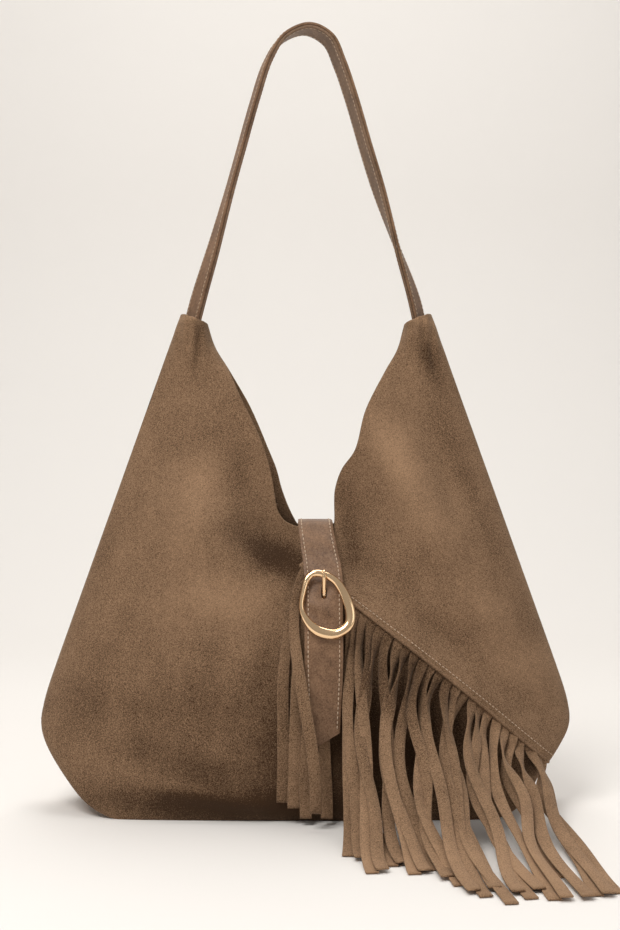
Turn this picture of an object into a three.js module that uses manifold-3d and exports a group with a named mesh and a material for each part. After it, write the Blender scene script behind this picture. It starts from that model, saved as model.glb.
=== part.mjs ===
// Slouchy suede shoulder bag with a crossover front, a fringe in the crossing seam,
// a leather strap and a leather tab that closes through a centre-bar buckle.
// Millimetres, +Z up, +X to the right seen from the front, front towards -Y.
// The origin is the middle of the base, on the surface that the bag stands on.
import * as THREE from "three";
import { mergeVertices } from "three/addons/utils/BufferGeometryUtils.js";
import Module from "manifold-3d";

const wasm = await Module();
wasm.setup();

// Body outline, seen from the front
const TIP_HEIGHT = 417;
const TIP_OUTER = 109.3;
const TIP_INNER = 84.5;
const TIP_SLANT = 8;
const CORNER_HEIGHT = 68;
const CORNER_OUTER = 234;
const CORNER_SOFTNESS = 12;
const BASE_OUTER = 176.4;
const BASE_ROUND = 18;
const BASE_ROUND_HEIGHT = 7;
const WIDEST_HEIGHT = 76;
const RIGHT_PULL = 8;
const RIGHT_PULL_HEIGHT = 38;
const RIGHT_PULL_SPREAD = 26;

// Body depth, front or back of the middle plane
const BELLY_DEPTH = 54;
const BELLY_TAPER = 1.4;
const SIDE_FULLNESS = 0.6;
const NECK_DEPTH = 12;
const NECK_HEIGHT = TIP_HEIGHT + 13;
const BASE_TUCK = 16;
const BASE_TUCK_HEIGHT = 18;
const BASE_HALF_DEPTH = 44;
const GUSSET_HEIGHT = 85;
const TIP_HALF_DEPTH = 17.5;
const SLEEVE_START = TIP_HEIGHT - 72;
const SLEEVE_END = TIP_HEIGHT - 12;
const PINCH_DEPTH = 22;
const PINCH_X = 12;
const PINCH_WIDTH = 62;
const PINCH_Z = 250;
const PINCH_HEIGHT = 60;

// Leather and clearances
const SUEDE = 1.8;
const GAP = 0.35;
const SEAM_GAP = 0.15;
const TUCK = 3.2;

// Crossing seam: height at the middle, fall and bow
const SEAM_START_X = -5;
const SEAM_MID_Z = 206;
const SEAM_FALL = 0.7;
const SEAM_BOW = 0.0005;
const SEAM_LIFT = 4.9;

// Mouth edges, as [x, height above MOUTH_Z] from the lowest point up to the tip. The heights are
// drawn for a tip that is LIP_RISE above the mouth, and stretch with it.
const MOUTH_Z = 243;
const LIP_RISE = 174;
const LIP_BACK = [[8, -2.5], [14, 9], [21, 27], [26, 45], [33, 62], [48, 97], [67, 132], [78, 150]];
const LIP_FRONT = [[9, -3.5], [18, 1], [24.5, 12], [28, 34], [36, 64], [56, 107], [67, 132], [78, 150]];
const LIP_OVERLAY = [[24.4, 3], [24.6, 28], [30, 45], [41, 61.5], [50, 95], [67, 128.5], [78, 148]];
// The back lip lies further out on the right, where the overlay covers it.
const LIP_BACK_RIGHT = [16, 16, 16, 16, 16, 16, 6, 2];
// The overlay's corner under the buckle, as [x, z], between the seam and its lip.
const OVERLAY_CORNER = [[11, 227], [22.6, 234.5]];
const LIP_MIDDLE_X = 24;
const UNDER_OVERLAY_TOP = 262;

// Fringe
const STRAND_WIDTH = 8.3;
const STRAND_PITCH = 8.8;
const STRAND_THICK = 1.5;
const HEADER_HIDDEN = 6.5;
const HEADER_GAP = 0.75;
const FRINGE_END_X = 202;
const STRAND_REST = 0.9;
const STRAND_REACH = 36;
const STRAND_STEPS = 14;
// Ends of the strands, left to right: [x, y, z, distance off the face half way down].
// The first five hang beside the tab, and the others lie forward on the floor.
const STRAND_ENDS = [
  [-19, -62, 18, 3], [8, -80, 14, 0], [-10, -64, 14, 4], [0, -65, 6, 3], [17, -65, 6, 2],
  [32, -147, 1, 3], [41, -158, 3.4, 8], [48, -187, 1, 4], [55.5, -186, 3.4, 8], [63, -171, 1, 3],
  [70.5, -170, 3.4, 8], [78, -189, 1, 4], [85.5, -188, 3.4, 8], [93, -180, 1, 3], [100, -202, 3.4, 8],
  [107.5, -214, 1, 4], [115, -231, 3.4, 8], [122.5, -237, 1, 3], [130, -226, 3.4, 8], [137.5, -251, 1, 4],
  [145, -233, 3.4, 8], [152.5, -241, 1, 3], [160, -228, 3.4, 8], [167.5, -243, 1, 4], [175, -245, 3.4, 8],
  [182.5, -196, 1, 3], [190, -243, 3.4, 8], [197.5, -235, 1, 4], [205, -237, 3.4, 7], [212.5, -230, 1, 3],
  [220, -204, 3.4, 6], [227, -200, 1, 3],
];

// The strand that comes out beside the buckle and crosses in front of the tab.
const CROSSING = { index: 1, bend: [-36, -50, 165], fall: [10, -104, 120] };
// Strands on the floor side of the tab stay to the right of this.
const BESIDE_TAB = 37;

// Strap
const STRAP_WIDTH = 22;
const STRAP_PLY = 2.3;
const STRAP_STEPS = 50;
// Middle line from base to base, as [x, height above TIP_HEIGHT]; its two ends lie in the sleeves.
const STRAP_ROUTE = [
  [-103.2, -25], [-92.7, 17], [-80, 60], [-68, 103], [-56, 146], [-43.9, 189], [-33, 222], [-20, 242],
  [1, 250], [19, 241], [29, 220], [39.5, 189], [52, 146], [65.3, 103], [79, 60], [93, 17], [102, -25],
];
const STRAP_TURN_START = TIP_HEIGHT + 8;
const STRAP_TURN_END = TIP_HEIGHT + 128;
const STRAP_TURN_TOP = 16;
const STRAP_TURN_LEFT = 34;
const STRAP_TURN_RIGHT = -25;

// Buckle, in its own leaning plane: x across, u up, n out from the bar's axis
const BAR_X = 16;
const BAR_Z = 179.3;
const BAR_RADIUS = 1.6;
// Room between the bag's face and the loop round the bar, for the overlay and the first strands
const ROOM_BEHIND_BAR = 7;
const BUCKLE_LEAN = 18;
const RING_OUT = 9.6;
const RING_HALF_THICK = 2.5;
const RING_BLUNTNESS = 0.8;
const RING_ROUTE = [
  [-6.6, 22.6, 6], [8.3, 16, 6.4], [19.6, -6.8, 8], [18.9, -19.3, 7.6], [9.3, -27.1, 8],
  [-3.6, -25.8, 8.6], [-12.5, -19.7, 7], [-19.3, -7.1, 4.2], [-17.7, 7.9, 4.4], [-13.7, 19.5, 5.6],
];
const POST_LEFT = -19.1;
const POST_RIGHT = 18.6;
const POST_BEND = 3;
const PRONG_X = -1.2;
const PRONG_WIDTH = 3.2;
const PRONG_THICK = 1.8;
const PRONG_EYE_WALL = 1.4;
// Lower part of the prong's middle line, as [n, u]; it goes on up to rest on the ring
const PRONG_ROUTE = [[1.6, 2.4], [4.4, 5], [8.4, 10]];
const LOOP_GAP = 0.35;
const SLOT_LENGTH = 11;
const SLOT_WIDTH = 4.6;
const SLOT_U = 7.4;

// Chape that holds the bar
const CHAPE_WIDTH = 17;
const CHAPE_PLY = 1.2;
const CHAPE_TOP = 229;
const CHAPE_SLOT_TOP = 13;
const CHAPE_SLOT_ROOM = 1.7;

// Closing tab
const TAB_PLY = 1.35;
const TAB_STEPS = 58;
const TAB_TIP_Z = 61;
const TAB_TIP_SLANT = 16;
const TAB_MOUTH_HALF = 14.6;
const TAB_HALF = 15.6;
const TAB_TIP_HALF = 12.6;
const TAB_MOUTH_X = 7.6;
const TAB_X = 14.6;

// Columns and rows of the panels' faces; the rows of the overlay are closer together near its seam,
// and its columns near its low end
const SLANT_COLUMNS = 7;
const SLEEVE_COLUMNS = 9;
const FLOOR_COLUMNS = 21;
const PANEL_ROWS = 17;
const OVERLAY_COLUMNS = 25;
const OVERLAY_CROWD = Math.PI / 2.15;
const OVERLAY_ROW_COUNT = 20;
const OVERLAY_ROW_POWER = 1.6;

const mix = THREE.MathUtils.lerp;
const smooth = (from, to, value) => THREE.MathUtils.smoothstep(value, from, to);
const softMin = (a, b, k) => -k * Math.log(Math.exp(-a / k) + Math.exp(-b / k));
const vec = (x, y, z) => new THREE.Vector3(x, y, z);

// A lip's points with their heights in place.
const raised = (lip) => lip.map(([x, above]) => [x, MOUTH_Z + (above * (TIP_HEIGHT - MOUTH_Z)) / LIP_RISE]);
const lipBack = raised(LIP_BACK);
const lipFront = raised(LIP_FRONT);
const lipOverlay = raised(LIP_OVERLAY);

// Half width of the body at height z. The right side is drawn in a little by the crossing seam.
function halfWidth(z, side) {
  const rise = (z - CORNER_HEIGHT) / (TIP_HEIGHT - CORNER_HEIGHT);
  const upper = mix(CORNER_OUTER, TIP_OUTER, rise);
  const lower = mix(BASE_OUTER, CORNER_OUTER, z / CORNER_HEIGHT);
  const round = BASE_ROUND * Math.exp(-z / BASE_ROUND_HEIGHT);
  const pull = side > 0 ? RIGHT_PULL * Math.exp(-(((z - RIGHT_PULL_HEIGHT) / RIGHT_PULL_SPREAD) ** 2)) : 0;
  return softMin(upper, lower, CORNER_SOFTNESS) - round - pull;
}

// Half depth of the base piece at height z: full at the floor, nothing at the widest corner.
function gussetDepth(z) {
  return BASE_HALF_DEPTH * Math.max(0, 1 - z / GUSSET_HEIGHT);
}

// Share of the full depth left at x: 1 in the middle, 0 at the side seam.
function depthShare(x, z) {
  const u = Math.min(1, Math.abs(x) / halfWidth(z, Math.sign(x)));
  return (1 - u * u) ** SIDE_FULLNESS;
}

// Inner edge of a sleeve at height z.
function sleeveInner(z) {
  const points = lipBack.slice(-3).concat([[TIP_INNER, TIP_HEIGHT - TIP_SLANT]]);
  for (let i = 1; i < points.length; i += 1) {
    const [x0, z0] = points[i - 1];
    const [x1, z1] = points[i];
    if (z <= z1) return mix(x0, x1, (z - z0) / (z1 - z0));
  }
  return TIP_INNER;
}

// Distance of the outer face from the middle plane: a belly that narrows to a round sleeve at each
// tip, and is drawn in where the closing tab crosses the mouth.
function depthAt(x, z) {
  const height = Math.max(z, 0);
  const swell = BELLY_DEPTH * (1 - (height / NECK_HEIGHT) ** BELLY_TAPER);
  const full = NECK_DEPTH + swell - BASE_TUCK * Math.exp(-height / BASE_TUCK_HEIGHT);
  const edge = gussetDepth(height);
  const across = ((x - PINCH_X) / PINCH_WIDTH) ** 4;
  const pinch = PINCH_DEPTH * Math.exp(-across - ((height - PINCH_Z) / PINCH_HEIGHT) ** 2);
  const body = edge + (full - edge) * depthShare(x, height) - pinch * depthShare(x, height);
  const inner = sleeveInner(height);
  const outer = halfWidth(height, 0);
  const offset = (Math.abs(x) - (inner + outer) / 2) / ((outer - inner) / 2);
  const sleeve = TIP_HALF_DEPTH * Math.sqrt(Math.max(0, 1 - offset * offset));
  return Math.max(0, mix(body, sleeve, smooth(SLEEVE_START, SLEEVE_END, height)));
}

const seamZ = (x) => SEAM_MID_Z - SEAM_FALL * x - SEAM_BOW * x * x;
const seamSlope = (x) => SEAM_FALL + 2 * SEAM_BOW * x;

// Distance above the crossing seam, measured square to it in the front view.
function aboveSeam(x, z) {
  return (z - seamZ(x)) * Math.cos(Math.atan(seamSlope(x)));
}

// How far the front panel's outer face lies inside the body's face, under the overlay.
function frontTuck(x, z) {
  return TUCK * smooth(-14, 16, aboveSeam(x, z)) * depthShare(x, z) ** 0.3;
}

const frontFace = (x, z) => Math.max(depthAt(x, z) - frontTuck(x, z), gussetDepth(z) + SEAM_GAP);

// The overlay's outer face stands out near its folded edge, over the fringe's header.
function overlayFace(x, z) {
  const lift = SEAM_LIFT * (1 - smooth(3, 25, aboveSeam(x, z))) * depthShare(x, z) ** 0.03;
  return Math.max(depthAt(x, z) + lift, gussetDepth(z) + SEAM_GAP);
}

// A mesh from points and faces, turned to face outwards.
function geometryFrom(points, faces) {
  let volume = 0;
  for (let i = 0; i < faces.length; i += 3) {
    const [a, b, c] = [points[faces[i]], points[faces[i + 1]], points[faces[i + 2]]];
    volume += a.dot(vec(0, 0, 0).crossVectors(b, c));
  }
  if (volume < 0) faces.reverse();
  const geometry = new THREE.BufferGeometry().setFromPoints(points);
  geometry.setIndex(faces);
  return geometry;
}

// The closed solid between two equal grids of points, [row][column].
function between(outer, inner) {
  const rows = outer.length;
  const cols = outer[0].length;
  const points = [...outer.flat(), ...inner.flat()];
  const at = (side, r, c) => side * rows * cols + r * cols + c;
  const faces = [];
  const quad = (a, b, c, d) => faces.push(a, b, c, a, c, d);
  for (let r = 0; r < rows - 1; r += 1) {
    for (let c = 0; c < cols - 1; c += 1) {
      quad(at(0, r, c), at(0, r, c + 1), at(0, r + 1, c + 1), at(0, r + 1, c));
      quad(at(1, r, c), at(1, r + 1, c), at(1, r + 1, c + 1), at(1, r, c + 1));
    }
    quad(at(0, r + 1, 0), at(1, r + 1, 0), at(1, r, 0), at(0, r, 0));
    quad(at(0, r, cols - 1), at(1, r, cols - 1), at(1, r + 1, cols - 1), at(0, r + 1, cols - 1));
  }
  for (let c = 0; c < cols - 1; c += 1) {
    quad(at(0, 0, c), at(1, 0, c), at(1, 0, c + 1), at(0, 0, c + 1));
    quad(at(0, rows - 1, c + 1), at(1, rows - 1, c + 1), at(1, rows - 1, c), at(0, rows - 1, c));
  }
  return geometryFrom(points, faces);
}

// The grid moved square to its own surface, towards the side that `inside` points to.
function offsetGrid(grid, distance, inside) {
  const last = (list) => list.length - 1;
  return grid.map((row, r) =>
    row.map((point, c) => {
      const up = vec(0, 0, 0).subVectors(grid[Math.min(r + 1, last(grid))][c], grid[Math.max(r - 1, 0)][c]);
      const along = vec(0, 0, 0).subVectors(row[Math.min(c + 1, last(row))], row[Math.max(c - 1, 0)]);
      const normal = up.cross(along).normalize();
      if (normal.dot(inside) < 0) normal.negate();
      return point.clone().addScaledVector(normal, distance);
    }),
  );
}

// Shares from 0 to 1, closer together near 0 when the power is above 1.
function shares(count, power = 1) {
  return Array.from({ length: count }, (_, i) => (i / (count - 1)) ** power);
}

// Points along a smooth curve through [x, z] pairs, at the given shares of its length.
function curvePoints(pairs, at) {
  const curve = new THREE.CatmullRomCurve3(pairs.map(([x, z]) => vec(x, 0, z)), false, "centripetal");
  return at.map((share) => curve.getPointAt(share)).map((p) => [p.x, p.z]);
}

// A flat grid of [x, z] that fills the space inside four edges, with its rows at the given shares.
function fillEdges(bottom, top, left, right, at) {
  const cols = bottom.length - 1;
  return left.map((_, r) =>
    bottom.map((__, c) => {
      const u = c / cols;
      const v = at[r];
      return [0, 1].map(
        (k) =>
          mix(bottom[c][k], top[c][k], v) +
          mix(left[r][k], right[r][k], u) -
          mix(mix(bottom[0][k], bottom[cols][k], u), mix(top[0][k], top[cols][k], u), v),
      );
    }),
  );
}

// Bottom edge from one widest corner, down the slant, along the floor and up to the other.
function bottomEdge(slantCount, floorCount) {
  const slant = (side) =>
    Array.from({ length: slantCount }, (_, i) => {
      const z = WIDEST_HEIGHT * (1 - i / slantCount) ** 1.5;
      return [side * halfWidth(z, side), z];
    });
  const floor = Array.from({ length: floorCount + 1 }, (_, i) => {
    const t = i / floorCount;
    return [mix(-halfWidth(0, -1), halfWidth(0, 1), t), 0];
  });
  return [...slant(-1), ...floor, ...slant(1).reverse()];
}

// Top edge of a sleeve from its outer to its inner corner, closer together at the corners.
function sleeveTop(side, count) {
  const outerZ = TIP_HEIGHT + TIP_SLANT / 2;
  return Array.from({ length: count }, (_, i) => {
    const t = (1 - Math.cos((Math.PI * i) / (count - 1))) / 2;
    return [side * mix(halfWidth(outerZ, 0), TIP_INNER, t), outerZ - TIP_SLANT * t];
  });
}

// Side seam between two heights, at the given shares.
function sideEdge(side, fromZ, toZ, at) {
  return at.map((share) => {
    const z = mix(fromZ, toZ, share);
    return [side * halfWidth(z, side), z];
  });
}

const ROWS = shares(PANEL_ROWS);
const OVERLAY_ROWS = shares(OVERLAY_ROW_COUNT, OVERLAY_ROW_POWER);
const bottom = bottomEdge(SLANT_COLUMNS, FLOOR_COLUMNS);
const mirror = (pairs) => pairs.map(([x, z]) => [-x, z]);

// A lip from the end of the sleeve down to the lowest point of the mouth.
function lipDown(lip, count) {
  const pairs = [...lip, [TIP_INNER, TIP_HEIGHT - TIP_SLANT / 2]];
  return curvePoints(pairs, shares(count + 1)).reverse().slice(1);
}

// Clamps a grid's inner face clear of the middle plane and of the base piece.
function keepClear(grid, front) {
  for (const point of grid.flat()) {
    const least = gussetDepth(point.z) + SEAM_GAP;
    point.y = front ? Math.min(point.y, -least) : Math.max(point.y, least);
    point.z = Math.max(point.z, 0);
  }
  return grid;
}

function makeBackPanel() {
  const lipCount = (bottom.length - 2 * SLEEVE_COLUMNS) / 2;
  const left = mirror(lipDown(lipBack, Math.floor(lipCount)));
  const right = lipDown(lipBack.map(([x, z], i) => [x + LIP_BACK_RIGHT[i], z]), Math.ceil(lipCount));
  const sleeves = [-1, 1].map((side) => sleeveTop(side, SLEEVE_COLUMNS));
  const top = [...sleeves[0], ...left, ...right.reverse(), ...sleeves[1].reverse()];
  const tipZ = TIP_HEIGHT + TIP_SLANT / 2;
  const sides = [-1, 1].map((side) => sideEdge(side, WIDEST_HEIGHT, tipZ, ROWS));
  const grid = fillEdges(bottom, top, ...sides, ROWS);
  const face = (x, z) => Math.max(depthAt(x, z), gussetDepth(z) + SEAM_GAP);
  const outer = grid.map((row) => row.map(([x, z]) => vec(x, face(x, z), z)));
  return between(outer, keepClear(offsetGrid(outer, SUEDE, vec(0, -1, 0)), false));
}

function makeFrontPanel() {
  const lipCount = Math.floor((bottom.length - SLEEVE_COLUMNS) / 2);
  const left = mirror(lipDown(lipFront, lipCount));
  const restCount = bottom.length - SLEEVE_COLUMNS - lipCount;
  const topRight = [halfWidth(UNDER_OVERLAY_TOP, 1), UNDER_OVERLAY_TOP];
  const under = curvePoints(
    [left[left.length - 1], [LIP_MIDDLE_X, lipFront[0][1]], [90, 243], topRight], shares(restCount + 1),
  ).slice(1);
  const top = [...sleeveTop(-1, SLEEVE_COLUMNS), ...left, ...under];
  const tipZ = TIP_HEIGHT + TIP_SLANT / 2;
  const leftSide = sideEdge(-1, WIDEST_HEIGHT, tipZ, ROWS);
  const rightSide = sideEdge(1, WIDEST_HEIGHT, UNDER_OVERLAY_TOP, ROWS);
  const grid = fillEdges(bottom, top, leftSide, rightSide, ROWS);
  const outer = grid.map((row) =>
    row.map(([x, z]) => {
      const share = Math.abs(x) / halfWidth(z, Math.sign(x));
      const inset = TUCK * smooth(-16, 4, aboveSeam(x, z)) * (x > 0 ? share ** 8 : 0);
      return vec(x - inset, -frontFace(x, z), z);
    }),
  );
  return between(outer, keepClear(offsetGrid(outer, SUEDE, vec(0, 1, 0)), true));
}

function makeOverlay() {
  const endX = seamEnd();
  const spread = (share) => Math.sin(share * OVERLAY_CROWD) / Math.sin(OVERLAY_CROWD);
  const low = shares(OVERLAY_COLUMNS).map((share) => {
    const x = mix(SEAM_START_X, endX, spread(share));
    return [x, seamZ(x)];
  });
  const start = [SEAM_START_X, seamZ(SEAM_START_X)];
  const finish = [TIP_INNER, TIP_HEIGHT - TIP_SLANT / 2];
  const lip = curvePoints([start, ...OVERLAY_CORNER, ...lipOverlay, finish], OVERLAY_ROWS);
  const top = sleeveTop(1, OVERLAY_COLUMNS).reverse();
  const side = sideEdge(1, seamZ(endX), TIP_HEIGHT + TIP_SLANT / 2, OVERLAY_ROWS);
  const grid = fillEdges(low, top, lip, side, OVERLAY_ROWS);
  const outer = grid.map((row) => row.map(([x, z]) => vec(x, -overlayFace(x, z), z)));
  return between(outer, keepClear(offsetGrid(outer, SUEDE, vec(0, 1, 0)), true));
}

// The x at which the crossing seam meets the side seam.
function seamEnd() {
  let x = BASE_OUTER;
  for (let i = 0; i < 40; i += 1) x = mix(x, halfWidth(seamZ(x), 1), 0.5);
  return x;
}

// Lens-shaped base between the panels' lower edges.
function makeGusset() {
  const path = bottom.filter(([, z]) => gussetDepth(z) > 6);
  const columns = 5;
  const outer = path.map(([x, z]) => {
    const inside = Math.max(gussetDepth(z), depthAt(x, z) - SUEDE) - SEAM_GAP - GAP;
    return Array.from({ length: columns }, (_, c) => vec(x, mix(-inside, inside, c / (columns - 1)), z));
  });
  return between(outer, offsetGrid(outer, SUEDE, vec(0, 0, 1)));
}

// Where each strand leaves the seam: evenly spaced along the seam on the front face.
function strandRoots() {
  const samples = 400;
  const start = SEAM_START_X + 2;
  const points = Array.from({ length: samples + 1 }, (_, i) => {
    const x = mix(start, FRINGE_END_X, i / samples);
    return vec(x, -frontFace(x, seamZ(x)), seamZ(x));
  });
  const lengths = [0];
  for (let i = 1; i <= samples; i += 1) lengths.push(lengths[i - 1] + points[i].distanceTo(points[i - 1]));
  const count = Math.floor(lengths[samples] / STRAND_PITCH);
  const xAt = (length) => {
    const i = lengths.findIndex((value) => value >= length);
    const share = (length - lengths[i - 1]) / (lengths[i] - lengths[i - 1]);
    return mix(points[i - 1].x, points[i].x, share);
  };
  return Array.from({ length: count }, (_, i) => {
    const middle = (i + 0.5) * STRAND_PITCH;
    return [xAt(middle - STRAND_WIDTH / 2), xAt(middle), xAt(middle + STRAND_WIDTH / 2)];
  });
}

// Direction down and away from the seam, in the front view.
function awayFromSeam(x) {
  const angle = Math.atan(seamSlope(x));
  return [-Math.sin(angle), -Math.cos(angle)];
}

// Middle line of a strand as a cubic curve: square off the seam, then down to its end.
function strandCurve(root, end, index) {
  if (index === CROSSING.index) {
    const { bend, fall } = CROSSING;
    return new THREE.CubicBezierCurve3(root, vec(...bend), vec(...fall), vec(...end.slice(0, 3)));
  }
  const [endX, endY, endZ, off] = end;
  const [dx, dz] = awayFromSeam(root.x);
  const onFloor = endZ < 5 && endY < -100;
  const reach = Math.min(STRAND_REACH, root.z * 0.75);
  const x1 = onFloor ? Math.max(root.x + dx * reach, BESIDE_TAB) : root.x + dx * reach;
  const z1 = Math.max(root.z + dz * reach, 9);
  const first = vec(x1, -(depthAt(x1, z1) + STRAND_THICK + off), z1);
  const last = vec(endX, endY, endZ);
  const back = vec(first.x - endX, first.y - endY, 0).normalize();
  const lead = onFloor ? back.multiplyScalar(0.55 * Math.abs(endY - first.y)) : vec(0, 0, 60);
  return new THREE.CubicBezierCurve3(root, first, last.clone().add(lead), last);
}

// The header strip, hidden in the seam, and every strand, cut from one piece of suede.
function makeFringe() {
  const roots = strandRoots();
  const points = [];
  const faces = [];
  const quad = (a, b, c, d) => faces.push(a, b, c, a, c, d);
  const add = (point) => points.push(point) - 1;
  const rootPoint = (x, above, out) => {
    const [dx, dz] = awayFromSeam(x);
    const [px, pz] = [x - dx * above, seamZ(x) - dz * above];
    return vec(px, -(frontFace(px, pz) + HEADER_GAP + out), pz);
  };
  const columns = roots.flatMap(([left, , right]) => [left, right]).map((x) => ({
    topOut: add(rootPoint(x, HEADER_HIDDEN, STRAND_THICK)),
    topIn: add(rootPoint(x, HEADER_HIDDEN, 0)),
    lowOut: add(rootPoint(x, 1, STRAND_THICK)),
    lowIn: add(rootPoint(x, 1, 0)),
  }));
  columns.slice(1).forEach((b, i) => {
    const a = columns[i];
    quad(a.topOut, a.lowOut, b.lowOut, b.topOut);
    quad(b.topIn, b.lowIn, a.lowIn, a.topIn);
    quad(a.topIn, a.topOut, b.topOut, b.topIn);
    if (i % 2 === 1) quad(a.lowOut, a.lowIn, b.lowIn, b.lowOut);
  });
  const first = columns[0];
  const final = columns[columns.length - 1];
  quad(first.topOut, first.topIn, first.lowIn, first.lowOut);
  quad(final.topIn, final.topOut, final.lowOut, final.lowIn);
  roots.forEach((_, i) => {
    const a = columns[2 * i];
    const b = columns[2 * i + 1];
    let ring = [a.lowOut, a.lowIn, b.lowIn, b.lowOut];
    const middle = ring.reduce((sum, k) => sum.add(points[k]), vec(0, 0, 0)).multiplyScalar(0.25);
    const end = STRAND_ENDS[i];
    const curve = strandCurve(middle, end, i);
    const faceStart = vec(0, -1, 0.15);
    const faceEnd = end[1] < -100 ? vec(0, 0, 1) : vec(0, -1, 0);
    for (let k = 1; k <= STRAND_STEPS; k += 1) {
      const t = k / STRAND_STEPS;
      const centre = curve.getPoint(t);
      const tangent = curve.getTangent(t);
      const face = faceStart.clone().lerp(faceEnd, smooth(0.15, 0.9, t));
      const across = vec(0, 0, 0).crossVectors(tangent, face).normalize();
      const out = vec(0, 0, 0).crossVectors(across, tangent).normalize();
      const corner = (side, depth) => {
        const point = centre.clone().addScaledVector(across, (side * STRAND_WIDTH) / 2);
        return add(point.addScaledVector(out, (depth * STRAND_THICK) / 2));
      };
      const next = [corner(1, 1), corner(1, -1), corner(-1, -1), corner(-1, 1)];
      const below = ({ x, y, z }) => y + depthAt(x, z) + STRAND_REST;
      const sunk = Math.max(...next.map((j) => below(points[j])));
      if (sunk > 0) next.forEach((j) => (points[j].y -= sunk));
      ring.forEach((from, j) => {
        const n = (j + 1) % 4;
        quad(from, ring[n], next[n], next[j]);
      });
      ring = next;
    }
    quad(ring[0], ring[1], ring[2], ring[3]);
  });
  return geometryFrom(points, faces);
}

// Strap plies: the width turns about the route from one base to the other.
function makeStrapPly(fromDepth, toDepth) {
  const route = STRAP_ROUTE.map(([x, above]) => vec(x, 0, TIP_HEIGHT + above));
  const curve = new THREE.CatmullRomCurve3(route, false, "centripetal");
  const rows = shares(STRAP_STEPS + 1).map((t) => {
    const centre = curve.getPointAt(t);
    const tangent = curve.getTangentAt(t);
    const z = centre.z;
    const base = centre.x < 0 ? STRAP_TURN_LEFT : STRAP_TURN_RIGHT;
    const risen = smooth(STRAP_TURN_START, STRAP_TURN_END, z);
    const turn = THREE.MathUtils.degToRad(mix(base, STRAP_TURN_TOP, risen));
    const wide = vec(Math.sin(turn), -Math.cos(turn), 0);
    wide.addScaledVector(tangent, -wide.dot(tangent)).normalize();
    const out = vec(0, 0, 0).crossVectors(wide, tangent).normalize();
    return { centre, wide, out };
  });
  const edge = ({ centre, wide, out }, side, depth) =>
    centre.clone().addScaledVector(wide, (side * STRAP_WIDTH) / 2).addScaledVector(out, depth);
  const layer = (depth) => rows.map((row) => [-1, 1].map((side) => edge(row, side, depth)));
  return between(layer(toDepth), layer(fromDepth));
}

// Places a point of the buckle's leaning plane in the bag's frame.
const lean = THREE.MathUtils.degToRad(BUCKLE_LEAN);
const barY = -(depthAt(BAR_X, BAR_Z) + ROOM_BEHIND_BAR + CHAPE_PLY + LOOP_GAP + BAR_RADIUS);
function onBuckle(x, u, n) {
  return vec(
    BAR_X + x,
    barY + u * Math.sin(lean) - n * Math.cos(lean),
    BAR_Z + u * Math.cos(lean) + n * Math.sin(lean),
  );
}

// A merged solid from a geometry, ready for cutting and joining.
function solid(geometry) {
  const bare = geometry.clone();
  bare.deleteAttribute("normal");
  bare.deleteAttribute("uv");
  const merged = mergeVertices(bare, 1e-3);
  return new wasm.Manifold(
    new wasm.Mesh({
      numProp: 3,
      vertProperties: new Float32Array(merged.attributes.position.array),
      triVerts: new Uint32Array(merged.index.array),
    }),
  );
}

function geometryOf(made) {
  const mesh = made.getMesh();
  const geometry = new THREE.BufferGeometry();
  geometry.setAttribute("position", new THREE.BufferAttribute(mesh.vertProperties, 3));
  geometry.setIndex(new THREE.BufferAttribute(mesh.triVerts, 1));
  return geometry;
}

// Turns geometry made in (x, u, n) into the bag's frame.
function leanGeometry(geometry) {
  const origin = onBuckle(0, 0, 0);
  const basis = new THREE.Matrix4().makeBasis(
    onBuckle(1, 0, 0).sub(origin), onBuckle(0, 1, 0).sub(origin), onBuckle(0, 0, 1).sub(origin),
  );
  return geometry.applyMatrix4(basis.setPosition(origin));
}

// Turns a shape drawn in (n, u) and extruded by `width` so that it is centred on x.
function acrossBuckle(shape, x, width) {
  const options = { depth: width, bevelEnabled: false, curveSegments: 10 };
  const geometry = new THREE.ExtrudeGeometry(shape, options);
  const basis = new THREE.Matrix4().makeBasis(vec(0, 0, 1), vec(0, 1, 0), vec(-1, 0, 0));
  geometry.applyMatrix4(basis.setPosition(x + width / 2, 0, 0));
  return leanGeometry(geometry);
}

function circleShape(radius) {
  return new THREE.Shape().absarc(0, 0, radius, 0, 2 * Math.PI, false);
}

// The ring: an oval section carried round a pebble-shaped closed route, wider where it is cast wider.
function makeRing() {
  const closed = (points) => new THREE.CatmullRomCurve3(points, true, "centripetal");
  const route = closed(RING_ROUTE.map(([x, u]) => vec(x, u, 0)));
  const widths = closed(RING_ROUTE.map(([, , w], i) => vec(i, w, 0)));
  const around = 44;
  const sides = 10;
  const blunt = (value) => Math.sign(value) * Math.abs(value) ** RING_BLUNTNESS;
  const points = [];
  const faces = [];
  for (let i = 0; i < around; i += 1) {
    const t = i / around;
    const centre = route.getPoint(t);
    const tangent = route.getTangent(t);
    const side = vec(tangent.y, -tangent.x, 0);
    const half = widths.getPoint(t).y / 2;
    for (let k = 0; k < sides; k += 1) {
      const angle = (2 * Math.PI * k) / sides;
      const across = half * blunt(Math.cos(angle));
      const out = RING_HALF_THICK * blunt(Math.sin(angle));
      points.push(centre.clone().addScaledVector(side, across).setZ(RING_OUT + out));
      const a = i * sides + k;
      const b = i * sides + ((k + 1) % sides);
      const c2 = ((i + 1) % around) * sides + ((k + 1) % sides);
      const d = ((i + 1) % around) * sides + k;
      faces.push(a, b, c2, a, c2, d);
    }
  }
  return leanGeometry(geometryFrom(points, faces));
}

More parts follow.
